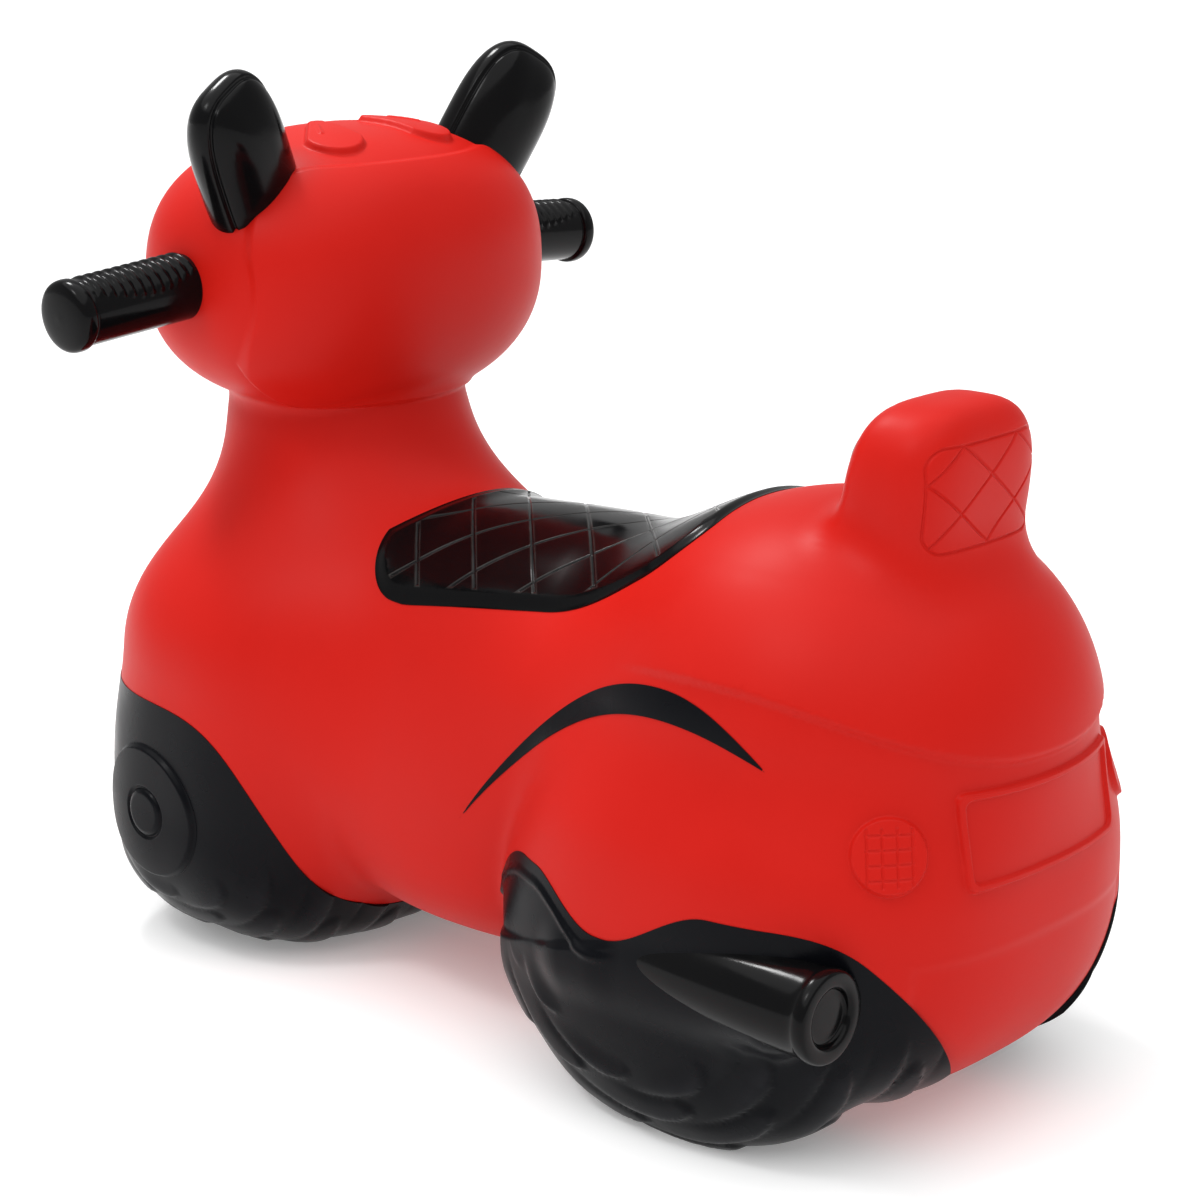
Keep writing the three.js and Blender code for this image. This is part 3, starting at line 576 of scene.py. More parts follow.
# Soft PVC, satin from the mould: dense red with a little bloom, and a fine grain that breaks the gloss.
# The grain is drawn coarser than the real one, which is too fine to show.
red_pvc, red_surface = new_material("rotomoulded_red_pvc")
place = add_node(red_pvc, "ShaderNodeTexCoord").outputs["Object"]
bloom = add_node(red_pvc, "ShaderNodeTexNoise", {"Scale": scale_of(BLOOM_SIZE), "Detail": 3.0}, Vector=place)
grain = add_node(red_pvc, "ShaderNodeTexNoise", {"Scale": scale_of(RED_GRAIN), "Detail": 3.0}, Vector=place)
tint = add_node(
    red_pvc, "ShaderNodeMixRGB", {"Color1": linear(RED_DEEP), "Color2": linear(RED_LIT)},
    Fac=bloom.outputs["Fac"],
)
gloss = add_node(
    red_pvc, "ShaderNodeMapRange", {"From Min": 0.3, "From Max": 0.7, "To Min": 0.40, "To Max": 0.52},
    Value=bloom.outputs["Fac"],
)
orange_peel = add_node(
    red_pvc, "ShaderNodeBump", {"Strength": 0.12, "Distance": 0.2 * MM}, Height=grain.outputs["Fac"]
)
red_shader = add_node(
    red_pvc, "ShaderNodeBsdfPrincipled", {"IOR": 1.53, "Specular IOR Level": 0.1},
    Base_Color=tint.outputs["Color"], Roughness=gloss.outputs["Result"],
    Normal=orange_peel.outputs["Normal"],
)
red_pvc.node_tree.links.new(red_shader.outputs[0], red_surface)

skin_low = np.array(cad_box[0]) / MM - SKIN_MARGIN
skin_high = np.array(cad_box[1]) / MM + SKIN_MARGIN
skin_points, skin_triangles = net(skin_form, skin_low, skin_high, SKIN_CELL)
skin_points = settle(skin_form, skin_points)[0]

from_valve = np.hypot(skin_points[:, 0] - VALVE_X, skin_points[:, 1])
on_belly = skin_points[:, 2] < WAIST[0][2]
valve_value = np.where(on_belly, VALVE_SEAT_RADIUS - from_valve, -VALVE_SEAT_RADIUS)
points, triangles = cut(skin_points, skin_triangles, valve_value)
points, triangles = refine(
    skin_form, points, triangles,
    lambda p: spacing_of(p, SKIN_RELIEF + [(cowl, 0, COWL_EDGE)], 2 * SKIN_CELL),
)
points, normals = settle(skin_form, points)
lift = lift_of(points, SKIN_RELIEF) + cowl_lift(points) + slack(points)
points = points + normals * lift[:, None]
points[:, 2] = np.maximum(points[:, 2], FLOOR_GAP)

# The valve seat and its blind bore are turned from the edge of the opening in the belly.
rim = edge_pairs(triangles)
rim_index, rim_edges = np.unique(rim, return_inverse=True)
rim_edges = rim_edges.reshape(-1, 2)
belly = points[rim_index, 2].mean()
seat_top, bore_top = belly + VALVE_SEAT_DEPTH, belly + VALVE_BORE_DEPTH
outward = (points[rim_index] - (VALVE_X, 0, 0)) * (1, 1, 0)
outward /= np.linalg.norm(outward, axis=1)[:, None]
last = rim_index
for radius, height in (
    (VALVE_SEAT_RADIUS, seat_top),
    (VALVE_BORE_RADIUS, seat_top),
    (VALVE_BORE_RADIUS, bore_top),
    (VALVE_TIP_SHARE * VALVE_BORE_RADIUS, bore_top + VALVE_TIP),
):
    ring = len(points) + np.arange(len(rim_index))
    points = np.concatenate([points, outward * radius + (VALVE_X, 0, height)])
    a, b = rim_edges.T
    lower = np.stack([last[b], last[a], ring[a]], axis=1)
    upper = np.stack([last[b], ring[a], ring[b]], axis=1)
    triangles = np.concatenate([triangles, lower, upper])
    last = ring
points = np.concatenate([points, [(VALVE_X, 0, bore_top + VALVE_TIP)]])
cap = np.stack([last[rim_edges[:, 1]], last[rim_edges[:, 0]], np.full(len(rim), len(points) - 1)], axis=1)
triangles = np.concatenate([triangles, cap])

red_skin = add_object("red_skin", points, triangles, red_pvc)
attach(red_skin, "skin")
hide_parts("body_skin")

# Saddle: a padded-looking panel moulded on top of the waist, with diamond grooves and a rolled border.
# It is sprayed gloss black through a mask, and its groove edges are painted pale: riders' rubbing wear
# together with a painted highlight along the grooves.
SADDLE_MIDDLE = -12.5
SADDLE_HALF = (99.5, 74)
SADDLE_CORNER = 24
SADDLE_SCOOP = 12
SADDLE_TAPER = (55, 0.075)
SADDLE_FLOOR = 180
SADDLE_RISE = 2.2
SADDLE_EDGE = 6.0
SADDLE_BORDER = 7
SADDLE_DIAMOND = 38.5
SADDLE_PHASE = 1.0
SADDLE_GROOVE = 0.9
FILM = 0.35
FILM_ROOT = 0.8
MASK_EDGE = 2.0
BLACK = "#09090A"
# Pale grey shown on the saddle's groove edges: rubbing wear and painted highlight.
BLACK_WORN_AND_HIGHLIGHT = "#4A4846"
WEAR_AND_HIGHLIGHT_PATCH = 9
GLOSS_STREAK = 28
# Strength, offset and reach of the pale painted highlight and rubbing wear beside the saddle grooves.
RUB_AND_HIGHLIGHT_STRENGTH = 0.6
RUB_AND_HIGHLIGHT_FROM = 0.5
RUB_AND_HIGHLIGHT_REACH = 0.6


def saddle_outline(p):
    x, y = p[:, 0] - SADDLE_MIDDLE, p[:, 1]
    drawn_in = SADDLE_TAPER[1] * np.maximum(SADDLE_TAPER[0] - p[:, 0], 0)
    plan = rounded(x, np.abs(y) + drawn_in, SADDLE_HALF, SADDLE_CORNER)
    hollow = SADDLE_SCOOP * np.clip(1 - (y / (SADDLE_HALF[1] - SADDLE_CORNER)) ** 2, 0, 1)
    plan = np.maximum(plan, x - SADDLE_HALF[0] + hollow)
    return np.maximum(plan, SADDLE_FLOOR - p[:, 2])


def saddle_grooves(p):
    slants = [(p[:, 0] + side * p[:, 1] - SADDLE_PHASE) / SADDLE_DIAMOND for side in (1, -1)]
    lines = [np.abs((slant + 0.5) % 1 - 0.5) for slant in slants]
    field = saddle_outline(p) + SADDLE_BORDER
    diamonds = np.maximum(np.minimum(*lines) * SADDLE_DIAMOND / math.sqrt(2), field)
    return diamonds - SADDLE_GROOVE / 2


SADDLE_RELIEF = [
    (lambda p: saddle_outline(p) + SADDLE_EDGE / 2, SADDLE_RISE, SADDLE_EDGE),
    (saddle_grooves, -0.7, 1.0),
]


def film(points, triangles, normals, lift):
    """A closed thin layer on the skin: its outer face lifted, its root sunk, joined round the edge."""
    count = len(points)
    outer = points + normals * (lift + slack(points) + FILM)[:, None]
    inner = points - normals * FILM_ROOT
    outer[:, 2] = np.maximum(outer[:, 2], 0)
    inner[:, 2] = np.maximum(inner[:, 2], FLOOR_GAP)
    a, b = edge_pairs(triangles).T
    walls = [np.stack([b, a, a + count], axis=1), np.stack([b, a + count, b + count], axis=1)]
    faces = np.concatenate([triangles, triangles[:, ::-1] + count] + walls)
    return np.concatenate([outer, inner]), faces


def section(outline, reliefs, coarse):
    """The skin inside an outline, refined for its edge and relief: points, triangles and normals."""
    points, triangles = cut(skin_points, skin_triangles, outline(skin_points) - 2 * SKIN_CELL)
    edge = [(outline, 0, MASK_EDGE)]
    points, triangles = refine(skin_form, points, triangles, lambda p: spacing_of(p, edge, 2 * SKIN_CELL))
    points, triangles = cut(points, triangles, outline(points))
    points, triangles = refine(skin_form, points, triangles, lambda p: spacing_of(p, reliefs, coarse))
    points, normals = settle(skin_form, points)
    return points, triangles, normals


def black_paint(name, colour, worn_and_highlight, shine, roughness, grain_size, grain_height):
    """Flexible black paint on PVC: deep, with a slight orange peel, painted grey where the wear value is
    marked: rubbing wear, and on the saddle's groove edges also a painted highlight.
    """
    material, surface = new_material(name)
    place = add_node(material, "ShaderNodeTexCoord").outputs["Object"]
    wear_and_highlight = add_node(material, "ShaderNodeAttribute", {"attribute_name": "wear_and_highlight"})
    patches = add_node(
        material, "ShaderNodeTexNoise", {"Scale": scale_of(WEAR_AND_HIGHLIGHT_PATCH), "Detail": 4.0}, Vector=place
    )
    # Grey is mixed in where the wear value is marked: rubbing wear, and on the saddle a painted highlight.
    rub_and_highlight = add_node(material, "ShaderNodeMath", {"operation": "MULTIPLY", "use_clamp": True})
    material.node_tree.links.new(wear_and_highlight.outputs["Fac"], rub_and_highlight.inputs[0])
    material.node_tree.links.new(patches.outputs["Fac"], rub_and_highlight.inputs[1])
    tint = add_node(
        material, "ShaderNodeMixRGB", {"Color1": linear(colour), "Color2": linear(worn_and_highlight)},
        Fac=rub_and_highlight.outputs[0],
    )
    streaks = add_node(
        material, "ShaderNodeTexNoise", {"Scale": scale_of(GLOSS_STREAK), "Detail": 2.0}, Vector=place
    )
    gloss = add_node(
        material, "ShaderNodeMapRange",
        {"From Min": 0.3, "From Max": 0.7, "To Min": roughness - 0.05, "To Max": roughness + 0.07},
        Value=streaks.outputs["Fac"],
    )
    grain = add_node(
        material, "ShaderNodeTexNoise", {"Scale": scale_of(grain_size), "Detail": 2.0}, Vector=place
    )
    peel = add_node(
        material, "ShaderNodeBump", {"Strength": 0.3, "Distance": grain_height * MM},
        Height=grain.outputs["Fac"],
    )
    shader = add_node(
        material, "ShaderNodeBsdfPrincipled", {"IOR": 1.5, "Specular IOR Level": shine},
        Base_Color=tint.outputs["Color"], Roughness=gloss.outputs["Result"], Normal=peel.outputs["Normal"],
    )
    material.node_tree.links.new(shader.outputs[0], surface)
    return material


# Gloss black paint: near black and wet looking, so lights show as small sharp glints.
saddle_paint = black_paint(
    "gloss_black_paint", BLACK, BLACK_WORN_AND_HIGHLIGHT, shine=0.11, roughness=0.16, grain_size=2.5, grain_height=0.05
)
points, triangles, normals = section(saddle_outline, SADDLE_RELIEF, 2 * SKIN_CELL)
# Pale painted highlight along each groove edge, mixed with rubbing wear.
from_edge = np.abs(saddle_grooves(points) - RUB_AND_HIGHLIGHT_FROM) / RUB_AND_HIGHLIGHT_REACH
groove_edge_rub_and_highlight = RUB_AND_HIGHLIGHT_STRENGTH * (1 - np.clip(from_edge, 0, 1))
saddle_points, faces = film(points, triangles, normals, lift_of(points, SADDLE_RELIEF))
saddle = add_object("saddle_panel", saddle_points, faces, saddle_paint, np.tile(groove_edge_rub_and_highlight, 2))
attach(saddle, "skin")
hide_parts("saddle")

# Backrest pad: the front face of the low backrest, a slightly raised panel of the same blown skin.
# It is sprayed gloss black through a mask, inside the red border that the moulding leaves round it.
PAD_HALF = (32, 15.5)
PAD_MIDDLE = 305.5
PAD_CORNER = 12
PAD_RISE = 1.2
PAD_EDGE = 3.0


def pad_outline(p):
    plan = rounded(p[:, 1], p[:, 2] - PAD_MIDDLE, PAD_HALF, PAD_CORNER)
    depth = BACKREST[1][0]
    return np.maximum(plan, np.abs(p[:, 0] - BACKREST[0][0] - depth / 2) - depth / 2)


PAD_RELIEF = [(lambda p: pad_outline(p) + PAD_EDGE / 2, PAD_RISE, PAD_EDGE)]
points, triangles, normals = section(pad_outline, PAD_RELIEF, SKIN_CELL)
pad_points, faces = film(points, triangles, normals, lift_of(points, PAD_RELIEF))
backrest_pad = add_object("backrest_pad_face", pad_points, faces, saddle_paint, np.zeros(len(pad_points)))
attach(backrest_pad, "skin")
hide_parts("backrest_pad")

# Tyres: fat moulded wheels that do not turn, one across the front and one on each side at the rear.
# Leaf-shaped lugs overlap round their treads. They are sprayed satin black up to a wavy mask line.
TYRE_BLACK = "#08090D"
TYRE_WORN = "#2A2A2E"
FRONT_PAINT_TOP = 141
FRONT_PAINT_DROP = 105
FRONT_PAINT_BACK = 106
FRONT_PAINT_SWEEP = 21
FRONT_PAINT_BEND = 1.2
PAINT_EDGE = 3.0
TREAD_CELL = 1.8
REAR_PAINT_DIP = (-122, 101)
REAR_PAINT_FLAT = 4
REAR_PAINT_RISE = (45, 19)
REAR_PAINT_CREST = (58, 23)
REAR_PAINT_FRONT = -27
REAR_PAINT_FLANK = (104, 120, 1.2)
REAR_PAINT_FREE = (-190, 0.6)
REAR_PAINT_INNER = 44
REAR_PAINT_NOSE = (-62, 0.02)
REAR_PAINT_FILLET = 14
ELSEWHERE = 50.0
SIDES = ((1, "left"), (-1, "right"))
LUG_HEIGHT = 2.6
FRONT_LUG_HEIGHT = 1.7
LUG_TOP = 80
FRONT_LUG_TOP = 70
LUG_FADE = 25
LUG_CLEAR = 3
LUG_WEAR = 3
EXHAUST_ROOT = ((-100, 112, 84), (-210, 115.5, 88.5), 16, 19)
EXHAUST_FILLET = 10
PROUD_ROUNDS = 6
LEAF_START = 40
LEAF_ROW = 22
LEAF_COUNT = 7
LEAF_SKEW = 0.12
LEAF_RISE = 0.6
LEAF_END = (0.68, 0.24)
LEAF_FALL = 0.11
LEAF_START_FADE = 0.8
FINGER_RIDGE = 8
FINGER_RIDGE_HALF = 3.2
FINGER_RIDGE_HEIGHT = 1.3
FINGER_RIDGE_FADE = 10
FINGER_FOOT = (-54, 79, 0.288)
FINGER_BACK = -135
FINGER_BACK_FADE = 20
FINGER_STEP = 1.6
FINGER_STEP_EDGE = 4.5
FINGER_STEP_FADE = (40, 34)


def front_paint(p):
    run = np.maximum(p[:, 0] - FRONT_PAINT_BACK, 0) / FRONT_PAINT_SWEEP
    line = FRONT_PAINT_TOP - FRONT_PAINT_DROP * np.exp(-run ** FRONT_PAINT_BEND)
    return np.maximum(p[:, 2] - line, FRONT_PAINT_BACK - p[:, 0])


def rear_mask(p):
    """Height above the mask line of a rear tyre."""
    x, y, z = p[:, 0], np.abs(p[:, 1]), p[:, 2]
    dip_x, dip_z = REAR_PAINT_DIP
    line = dip_z + REAR_PAINT_RISE[1] * ease((x - dip_x - REAR_PAINT_FLAT) / REAR_PAINT_RISE[0])
    line += REAR_PAINT_CREST[1] * ease((dip_x - x) / REAR_PAINT_CREST[0])
    line -= REAR_PAINT_NOSE[1] * np.maximum(x - REAR_PAINT_NOSE[0], 0) ** 2
    flank_y, flank_z, flank_slope = REAR_PAINT_FLANK
    flank = flank_z + flank_slope * (y - flank_y)
    flank += REAR_PAINT_FREE[1] * np.maximum(x - REAR_PAINT_FREE[0], 0)
    return -melt(line - z, flank - z, REAR_PAINT_FILLET)


def rear_paint(p):
    inner = REAR_PAINT_INNER - np.abs(p[:, 1])
    return np.maximum.reduce([rear_mask(p), inner, p[:, 0] - REAR_PAINT_FRONT])


def one_side(outline, side, inner=0):
    """An outline on one side of the toy only, beyond a distance from its middle."""
    return lambda p: np.where(side * p[:, 1] > inner, outline(p), ELSEWHERE)


def lugs(p, wheel):
    """Leaves that overlap round a tread like shingles: each rises towards its rounded rear end."""
    (wheel_x, wheel_y, wheel_z), (length, width, height), _ = wheel
    forward, down = 2 * (p[:, 0] - wheel_x) / length, 2 * (wheel_z - p[:, 2]) / height
    from_flank = np.maximum(wheel_y + width / 2 - np.abs(p[:, 1]), 0)
    from_hub = np.hypot(forward, down) * height / 2 + from_flank
    across = (from_hub - LEAF_START) / LEAF_ROW
    row = np.floor(across)
    g = 2 * (across - row) - 1
    turn = np.arctan2(forward, down) * LEAF_COUNT / (2 * math.pi)
    f = (0.5 * row + LEAF_SKEW * g - turn) % 1
    end = LEAF_END[0] + LEAF_END[1] * (1 - g * g)
    leaf = ease(f / LEAF_RISE) * (1 - ease((f - end) / LEAF_FALL))
    leaf *= (0.7 + 0.3 * g) * (1 - np.abs(g) ** 4)
    return leaf * ease(across / LEAF_START_FADE)


def finger_ridge(p):
    return rear_mask(p) + FINGER_RIDGE


def finger_foot(p):
    foot_x, foot_z, foot_slope = FINGER_FOOT
    return p[:, 2] - foot_z + foot_slope * (p[:, 0] - foot_x)


def finger(p):
    """Relief at a rear tyre's top: a ridge inside the mask line, and the bulge stepped up below it."""
    above = finger_foot(p)
    ridge = FINGER_RIDGE_HEIGHT * (1 - ease(np.abs(finger_ridge(p)) / FINGER_RIDGE_HALF))
    ridge *= ease((p[:, 2] - FINGER_FOOT[1]) / FINGER_RIDGE_FADE)
    fade_start, fade = FINGER_STEP_FADE
    step = FINGER_STEP * ease(0.5 - above / FINGER_STEP_EDGE) * ease((above + fade_start) / fade)
    return ease((p[:, 0] - FINGER_BACK) / FINGER_BACK_FADE) * (ridge + step)


def exhaust_root(p):
    """The skin with the swelling that carries the silencer."""
    return melt(skin_form(p), limb(p, *EXHAUST_ROOT, 1.0), EXHAUST_FILLET)


def proud(form, p, normals):
    """How far another form stands out from points on the skin."""
    height = np.zeros(len(p))
    for _ in range(PROUD_ROUNDS):
        height = np.maximum(height - form(p + normals * height[:, None]), 0)
    return height


# Satin black paint: a cold black with a soft sheen, a little greyer on the lugs' worn ends.
tyre_paint = black_paint(
    "satin_black_paint", TYRE_BLACK, TYRE_WORN, shine=0.08, roughness=0.28, grain_size=1.4, grain_height=0.08
)
points, triangles, normals = section(front_paint, [(front_paint, 0, PAINT_EDGE)], TREAD_CELL)
leaf = lugs(points, FRONT_WHEEL) * ease((FRONT_LUG_TOP - points[:, 2]) / LUG_FADE)
tyre_points, faces = film(points, triangles, normals, FRONT_LUG_HEIGHT * leaf)
front_tyre = add_object("front_tyre", tyre_points, faces, tyre_paint, np.tile(leaf ** LUG_WEAR, 2))
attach(front_tyre, "skin")
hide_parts("front_wheel")

REAR_TYRE_EDGES = [(rear_paint, 0, PAINT_EDGE), (finger_ridge, 0, 4.0), (finger_foot, 0, 3.0)]
for side, name in SIDES:
    points, triangles, normals = section(one_side(rear_paint, side), REAR_TYRE_EDGES, TREAD_CELL)
    swelling = proud(exhaust_root, points, normals) if side > 0 else np.zeros(len(points))
    leaf = lugs(points, REAR_WHEEL) * ease((LUG_TOP - points[:, 2]) / LUG_FADE)
    leaf *= ease(1 - swelling / LUG_CLEAR)
    lift = LUG_HEIGHT * leaf + finger(points) + swelling
    tyre_points, faces = film(points, triangles, normals, lift)
    rear_tyre = add_object("rear_tyre_" + name, tyre_points, faces, tyre_paint, np.tile(leaf ** LUG_WEAR, 2))
    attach(rear_tyre, "skin")
    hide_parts("rear_wheel_" + name)

# Fender stripes: a slim crescent over each rear wheel arch. It is only paint, the tyres' satin black
# sprayed on the bare red PVC through a mask, and has no relief of its own.
STRIPE_UPPER = (-136, 212, 0.00535, 0.0074)
STRIPE_LOWER = (-139, 199, 0.0044, 0.0038)
STRIPE_INNER = 60


def arch(x, crown_x, crown_z, front, back):
    return crown_z - np.where(x > crown_x, front, back) * (x - crown_x) ** 2


def stripe_outline(p):
    upper, lower = arch(p[:, 0], *STRIPE_UPPER), arch(p[:, 0], *STRIPE_LOWER)
    return np.maximum.reduce([p[:, 2] - upper, lower - p[:, 2], STRIPE_INNER - np.abs(p[:, 1])])


for side, name in SIDES:
    outline = one_side(stripe_outline, side)
    points, triangles, normals = section(outline, [(stripe_outline, 0, PAINT_EDGE)], SKIN_CELL)
    stripe_points, faces = film(points, triangles, normals, np.zeros(len(points)))
    unworn = np.zeros(len(stripe_points))
    stripe = add_object("fender_crescent_" + name, stripe_points, faces, tyre_paint, unworn)
    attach(stripe, "skin")
    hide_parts("fender_stripe_" + name)

# Front hubs: a shallow disc with a nave ring on each flank of the front tyre. They are raised in the
# mould as part of the blown skin and lie under the tyre's satin black paint.
HUB = (195, 81)
HUB_RADIUS = 36
HUB_INNER = 80
HUB_PROUD = 2.6
HUB_INSET = 1.5
HUB_FILM = 0.2
NAVE_RADIUS = 13
NAVE_GROOVE = 0.8


def hub_outline(p, radius):
    return np.hypot(p[:, 0] - HUB[0], p[:, 2] - HUB[1]) - radius


HUB_RELIEF = [
    (lambda p: hub_outline(p, HUB_RADIUS - HUB_INSET), HUB_PROUD, 2.6),
    (lambda p: np.abs(hub_outline(p, NAVE_RADIUS)) - NAVE_GROOVE, -1.2, 1.4),
    (lambda p: hub_outline(p, NAVE_RADIUS - 2), 0.9, 3.0),
]
for side, name in SIDES:
    outline = one_side(lambda p: hub_outline(p, HUB_RADIUS), side, HUB_INNER)
    points, triangles, normals = section(outline, HUB_RELIEF, SKIN_CELL)
    hub_points, faces = film(points, triangles, normals, lift_of(points, HUB_RELIEF) + HUB_FILM)
    hub = add_object("front_hub_disc_" + name, hub_points, faces, tyre_paint, np.zeros(len(hub_points)))
    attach(hub, "skin")
    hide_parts("front_hub_" + name)

# Exhaust: a silencer moulded on the outside of the left rear tyre. It swells towards a ringed end with
# a shallow dished mouth, and shares the gloss black of the saddle.
EXHAUST_AT = (-125, 118, 94.5)
EXHAUST_PROFILE = (
    (0, 0), (8, 0.5), (11, 3), (15.5, 30), (18.3, 58), (19.6, 80), (20, 100), (20, 109), (21, 111.5),
    (21, 114.5), (20.2, 116.5), (18, 117), (14.5, 117), (13, 116), (12.4, 114), (11.6, 113.2),
    (6, 113.4), (0, 113.4),
)
TURNED_STEPS = 72


def smooth_profile(profile, times):
    """A profile's points with its corners cut, so that a turned piece has soft edges."""
    points = np.array(profile, float)
    for _ in range(times):
        start, end = points[:-1], points[1:]
        pairs = np.stack([0.75 * start + 0.25 * end, 0.25 * start + 0.75 * end], axis=1)
        points = np.concatenate([points[:1], pairs.reshape(-1, 2), points[-1:]])
    return points


def turned(profile, swell=None):
    """A piece turned about Y from radius and height, with an optional change of radius at each point."""
    radius, height = np.array(profile, float).T
    angle = 2 * math.pi * np.arange(TURNED_STEPS) / TURNED_STEPS
    rings = radius[1:-1, None] + (swell(height[1:-1, None], angle) if swell else 0 * angle)
    middle = np.stack([
        rings * np.cos(angle), np.broadcast_to(height[1:-1, None], rings.shape), rings * np.sin(angle)
    ], axis=-1).reshape(-1, 3)
    points = np.concatenate([[(0, height[0], 0)], middle, [(0, height[-1], 0)]])
    faces = []
    step = np.arange(TURNED_STEPS)
    after = (step + 1) % TURNED_STEPS
    for ring in range(len(rings) - 1):
        low, high = 1 + ring * TURNED_STEPS, 1 + (ring + 1) * TURNED_STEPS
        faces.append(np.stack([low + step, high + step, high + after], axis=1))
        faces.append(np.stack([low + step, high + after, low + after], axis=1))
    first, final = 1, 1 + (len(rings) - 1) * TURNED_STEPS
    faces.append(np.stack([np.zeros_like(step), first + step, first + after], axis=1))
    faces.append(np.stack([np.full_like(step, len(points) - 1), final + after, final + step], axis=1))
    return points, np.concatenate(faces)


points, faces = turned(smooth_profile(EXHAUST_PROFILE, 2))
can_points = np.stack([-points[:, 1], points[:, 0], points[:, 2]], axis=1) + EXHAUST_AT
exhaust = add_object("exhaust_can", can_points, faces, saddle_paint, np.zeros(len(points)))
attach(exhaust, "skin")
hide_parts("exhaust")

# Grips: handlebar stubs blown with the skin, ribbed over their upper half, with a groove and a
# mushroom cap at the end, sprayed gloss black.
GRIP_ROOT = (172, 53, 355)
GRIP_DROOP = math.radians(4)
GRIP_LENGTH = 126.5
GRIP_RADIUS = 16
CAP_LENGTH = 10
CAP_RADIUS = 17.6
GROOVE_START = 3
GROOVE_DEPTH = 0.8
BAR_STEP = 0.8
RIB_COUNT = 11
RIB_PITCH = 5.6
RIB_HEIGHT = 1.8
RIB_VALLEY = 0.4
RIB_GAP = 4
RIB_SHARPNESS = 1.4
RIB_REACH = math.radians(68)
RIB_END = 0.15
cap_start = GRIP_LENGTH - CAP_LENGTH
bar_steps = np.arange(0, cap_start - GROOVE_START, BAR_STEP)
GRIP_PROFILE = [(0, 0)] + [(GRIP_RADIUS, step) for step in bar_steps] + smooth_profile((
    (GRIP_RADIUS, cap_start - GROOVE_START), (GRIP_RADIUS, cap_start - 1.4),
    (GRIP_RADIUS - GROOVE_DEPTH, cap_start - 0.6),
    (CAP_RADIUS - 0.6, cap_start), (CAP_RADIUS, cap_start + 1.2), (CAP_RADIUS, cap_start + 4.5),
    (CAP_RADIUS * 0.96, cap_start + 6.8), (CAP_RADIUS * 0.84, cap_start + 8.4),
    (CAP_RADIUS * 0.5, cap_start + 9.6), (0, GRIP_LENGTH),
), 2).tolist()


def ribs(height, angle):
    """Ribs over the top of a grip, in from its cap, fading towards the sides."""
    back = (cap_start - RIB_GAP - height) / RIB_PITCH
    ribbed = (back > 0) & (back < RIB_COUNT)
    rib = np.abs(np.sin(math.pi * back)) ** RIB_SHARPNESS
    from_top = np.abs((angle - math.pi / 2 + math.pi) % (2 * math.pi) - math.pi)
    reach = RIB_REACH * (0.8 + 0.3 * np.sin(math.pi * np.clip(back / RIB_COUNT, 0, 1)))
    return (RIB_HEIGHT * rib - RIB_VALLEY) * ribbed * ease((reach - from_top) / RIB_END)


def both_sides(points, faces):
    """A piece as it is on the toy's left, and mirrored for its right."""
    return (("left", points, faces), ("right", points * (1, -1, 1), faces[:, ::-1]))


grip_points, grip_faces = turned(GRIP_PROFILE, ribs)
tilt = np.array(Matrix.Rotation(-GRIP_DROOP, 3, "X"))
grip_points = grip_points @ tilt.T + GRIP_ROOT
for name, points, faces in both_sides(grip_points, grip_faces):
    grip = add_object("ribbed_grip_" + name, points, faces, saddle_paint, np.zeros(len(points)))
    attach(grip, "skin")
    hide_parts("grip_" + name)

# Mirrors: solid-looking ears blown with the head, leaning outwards and back. A moulded seam parts the
# shell from the mirror's face towards the rider, and all of it is sprayed gloss black.
MIRROR_HALF = np.array((20.5, 27.5, 48.5))
MIRROR_ROUND = (2.0, 3.0)
MIRROR_AT = (145.6, 84.3, 410.4)
MIRROR_SPLAY = math.radians(28.5)
MIRROR_RAKE = math.radians(13)
MIRROR_TURN = math.radians(13)
MIRROR_SEAM = -6
MIRROR_SEAM_HALF = 0.8
MIRROR_CELL = 1.6


def mirror_form(p):
    """A tongue with a round-cornered outline and a swollen back and face."""
    q = np.abs(p) / MIRROR_HALF + 1e-9
    swell, corner = MIRROR_ROUND
    plan = (q[:, 1] ** corner + q[:, 2] ** corner) ** (1 / corner)
    return ((q[:, 0] ** swell + plan ** swell) ** (1 / swell) - 1) * MIRROR_HALF[0]


def mirror_seam(p):
    """The line where the shell meets the face, all round the edge."""
    return np.abs(p[:, 0] - MIRROR_SEAM) - MIRROR_SEAM_HALF


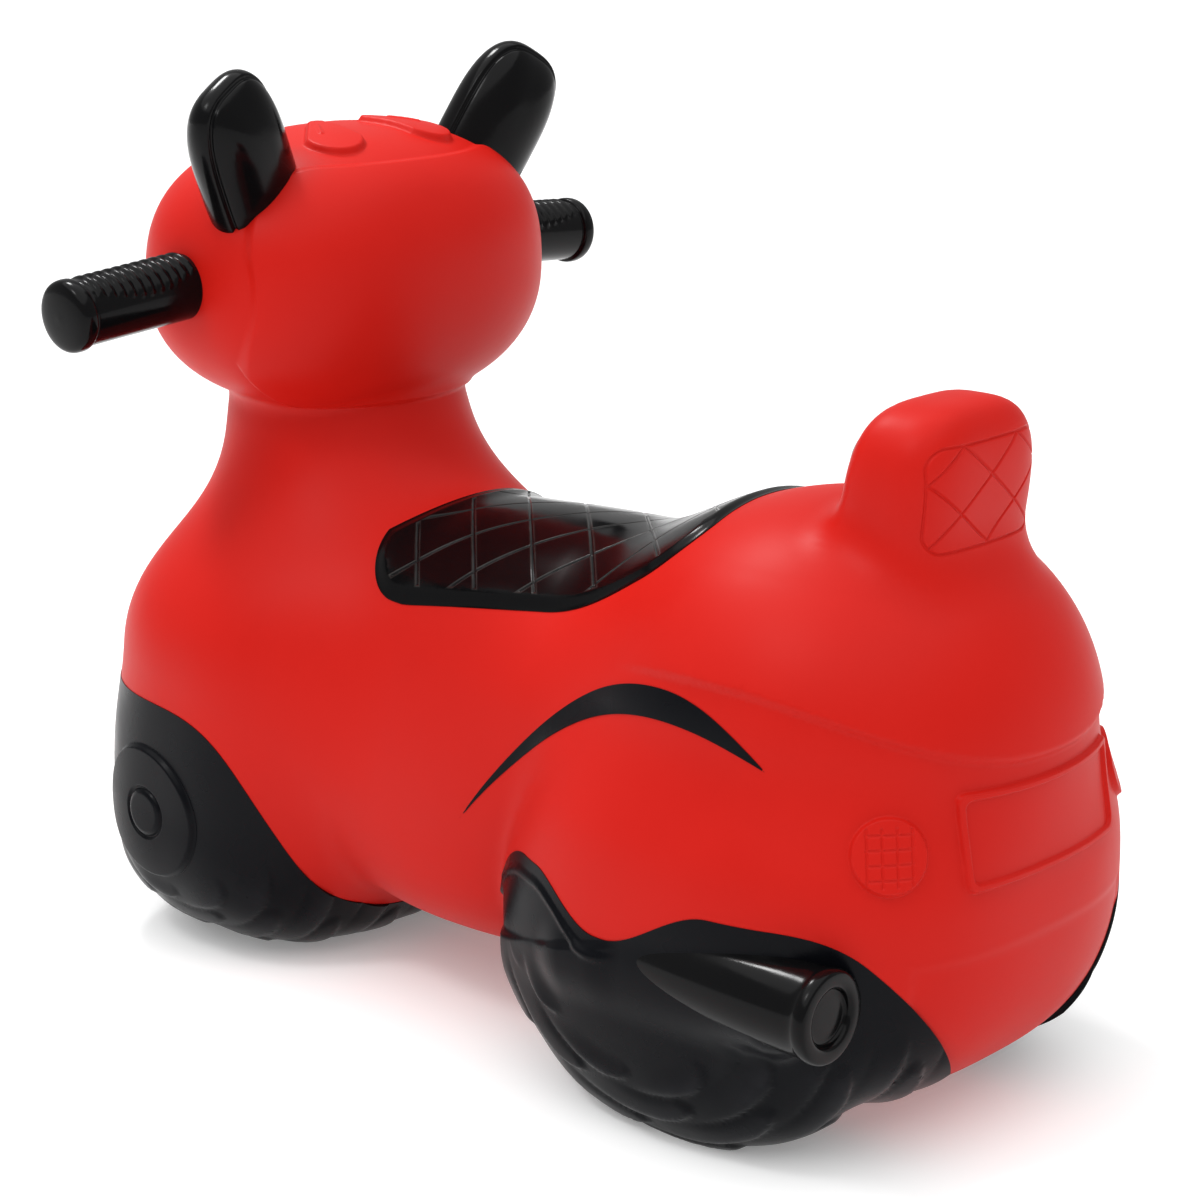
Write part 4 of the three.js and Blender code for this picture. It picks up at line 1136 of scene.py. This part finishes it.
MIRROR_RELIEF = [
    (lambda p: p[:, 0] - MIRROR_SEAM, -0.7, 2.4),
    (mirror_seam, -1.3, 1.6),
]
box = MIRROR_HALF + 4 * MIRROR_CELL
points, mirror_faces = net(mirror_form, -box, box, MIRROR_CELL)
points, mirror_faces = refine(
    mirror_form, points, mirror_faces, lambda p: spacing_of(p, MIRROR_RELIEF, 2 * MIRROR_CELL)
)
points, normals = settle(mirror_form, points)
points = points + normals * lift_of(points, MIRROR_RELIEF)[:, None]
lean = Matrix.Rotation(-MIRROR_RAKE, 3, "Y") @ Matrix.Rotation(-MIRROR_SPLAY, 3, "X")
lean = np.array(lean @ Matrix.Rotation(MIRROR_TURN, 3, "Z"))
mirror_points = points @ lean.T + MIRROR_AT
for name, points, faces in both_sides(mirror_points, mirror_faces):
    mirror = add_object("mirror_ear_" + name, points, faces, saddle_paint, np.zeros(len(points)))
    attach(mirror, "skin")
    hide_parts("mirror_" + name)

# Air plug: a small white PVC stopper pushed up into the valve in the belly, with a thin flange to
# pull it by and a round nose that finds the bore.
PLUG_WHITE = "#E6E4DE"
PLUG_SHADE = "#D9D6CE"
PLUG_CLOUD = 4
plug_low, plug_high = (np.array(corner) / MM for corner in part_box("valve_plug"))
plug_length = plug_high[2] - plug_low[2]
plug_radius = (plug_high[0] - plug_low[0]) / 2
FLANGE = 2.2
STEM_RADIUS = 4
plug_profile = smooth_profile((
    (0, 0.5), (3, 0.2), (plug_radius - 1, 0), (plug_radius, 0.8), (plug_radius, FLANGE - 0.4),
    (plug_radius - 0.5, FLANGE), (STEM_RADIUS + 0.3, FLANGE), (STEM_RADIUS, FLANGE + 0.4),
    (STEM_RADIUS, plug_length - 6), (STEM_RADIUS + 0.15, plug_length - 4.5), (STEM_RADIUS, plug_length - 3),
    (STEM_RADIUS / 2, plug_length), (0, plug_length),
), 2)
points, plug_faces = turned(plug_profile)
plug_points = np.stack([points[:, 0] + VALVE_X, -points[:, 2], points[:, 1] + plug_low[2]], axis=1)

# Injection moulded soft PVC, white and slightly waxy, with faint flow clouds.
white_pvc, white_surface = new_material("moulded_white_pvc")
place = add_node(white_pvc, "ShaderNodeTexCoord").outputs["Object"]
clouds = add_node(
    white_pvc, "ShaderNodeTexNoise", {"Scale": scale_of(PLUG_CLOUD), "Detail": 3.0}, Vector=place
)
tint = add_node(
    white_pvc, "ShaderNodeMixRGB", {"Color1": linear(PLUG_SHADE), "Color2": linear(PLUG_WHITE)},
    Fac=clouds.outputs["Fac"],
)
white_shader = add_node(
    white_pvc, "ShaderNodeBsdfPrincipled", {"IOR": 1.53, "Roughness": 0.42, "Subsurface Weight": 0.1},
    Base_Color=tint.outputs["Color"],
)
white_pvc.node_tree.links.new(white_shader.outputs[0], white_surface)
plug = add_object("air_plug", plug_points, plug_faces, white_pvc)
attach(plug, "plug")
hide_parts("valve_plug")

bpy.context.view_layer.update()
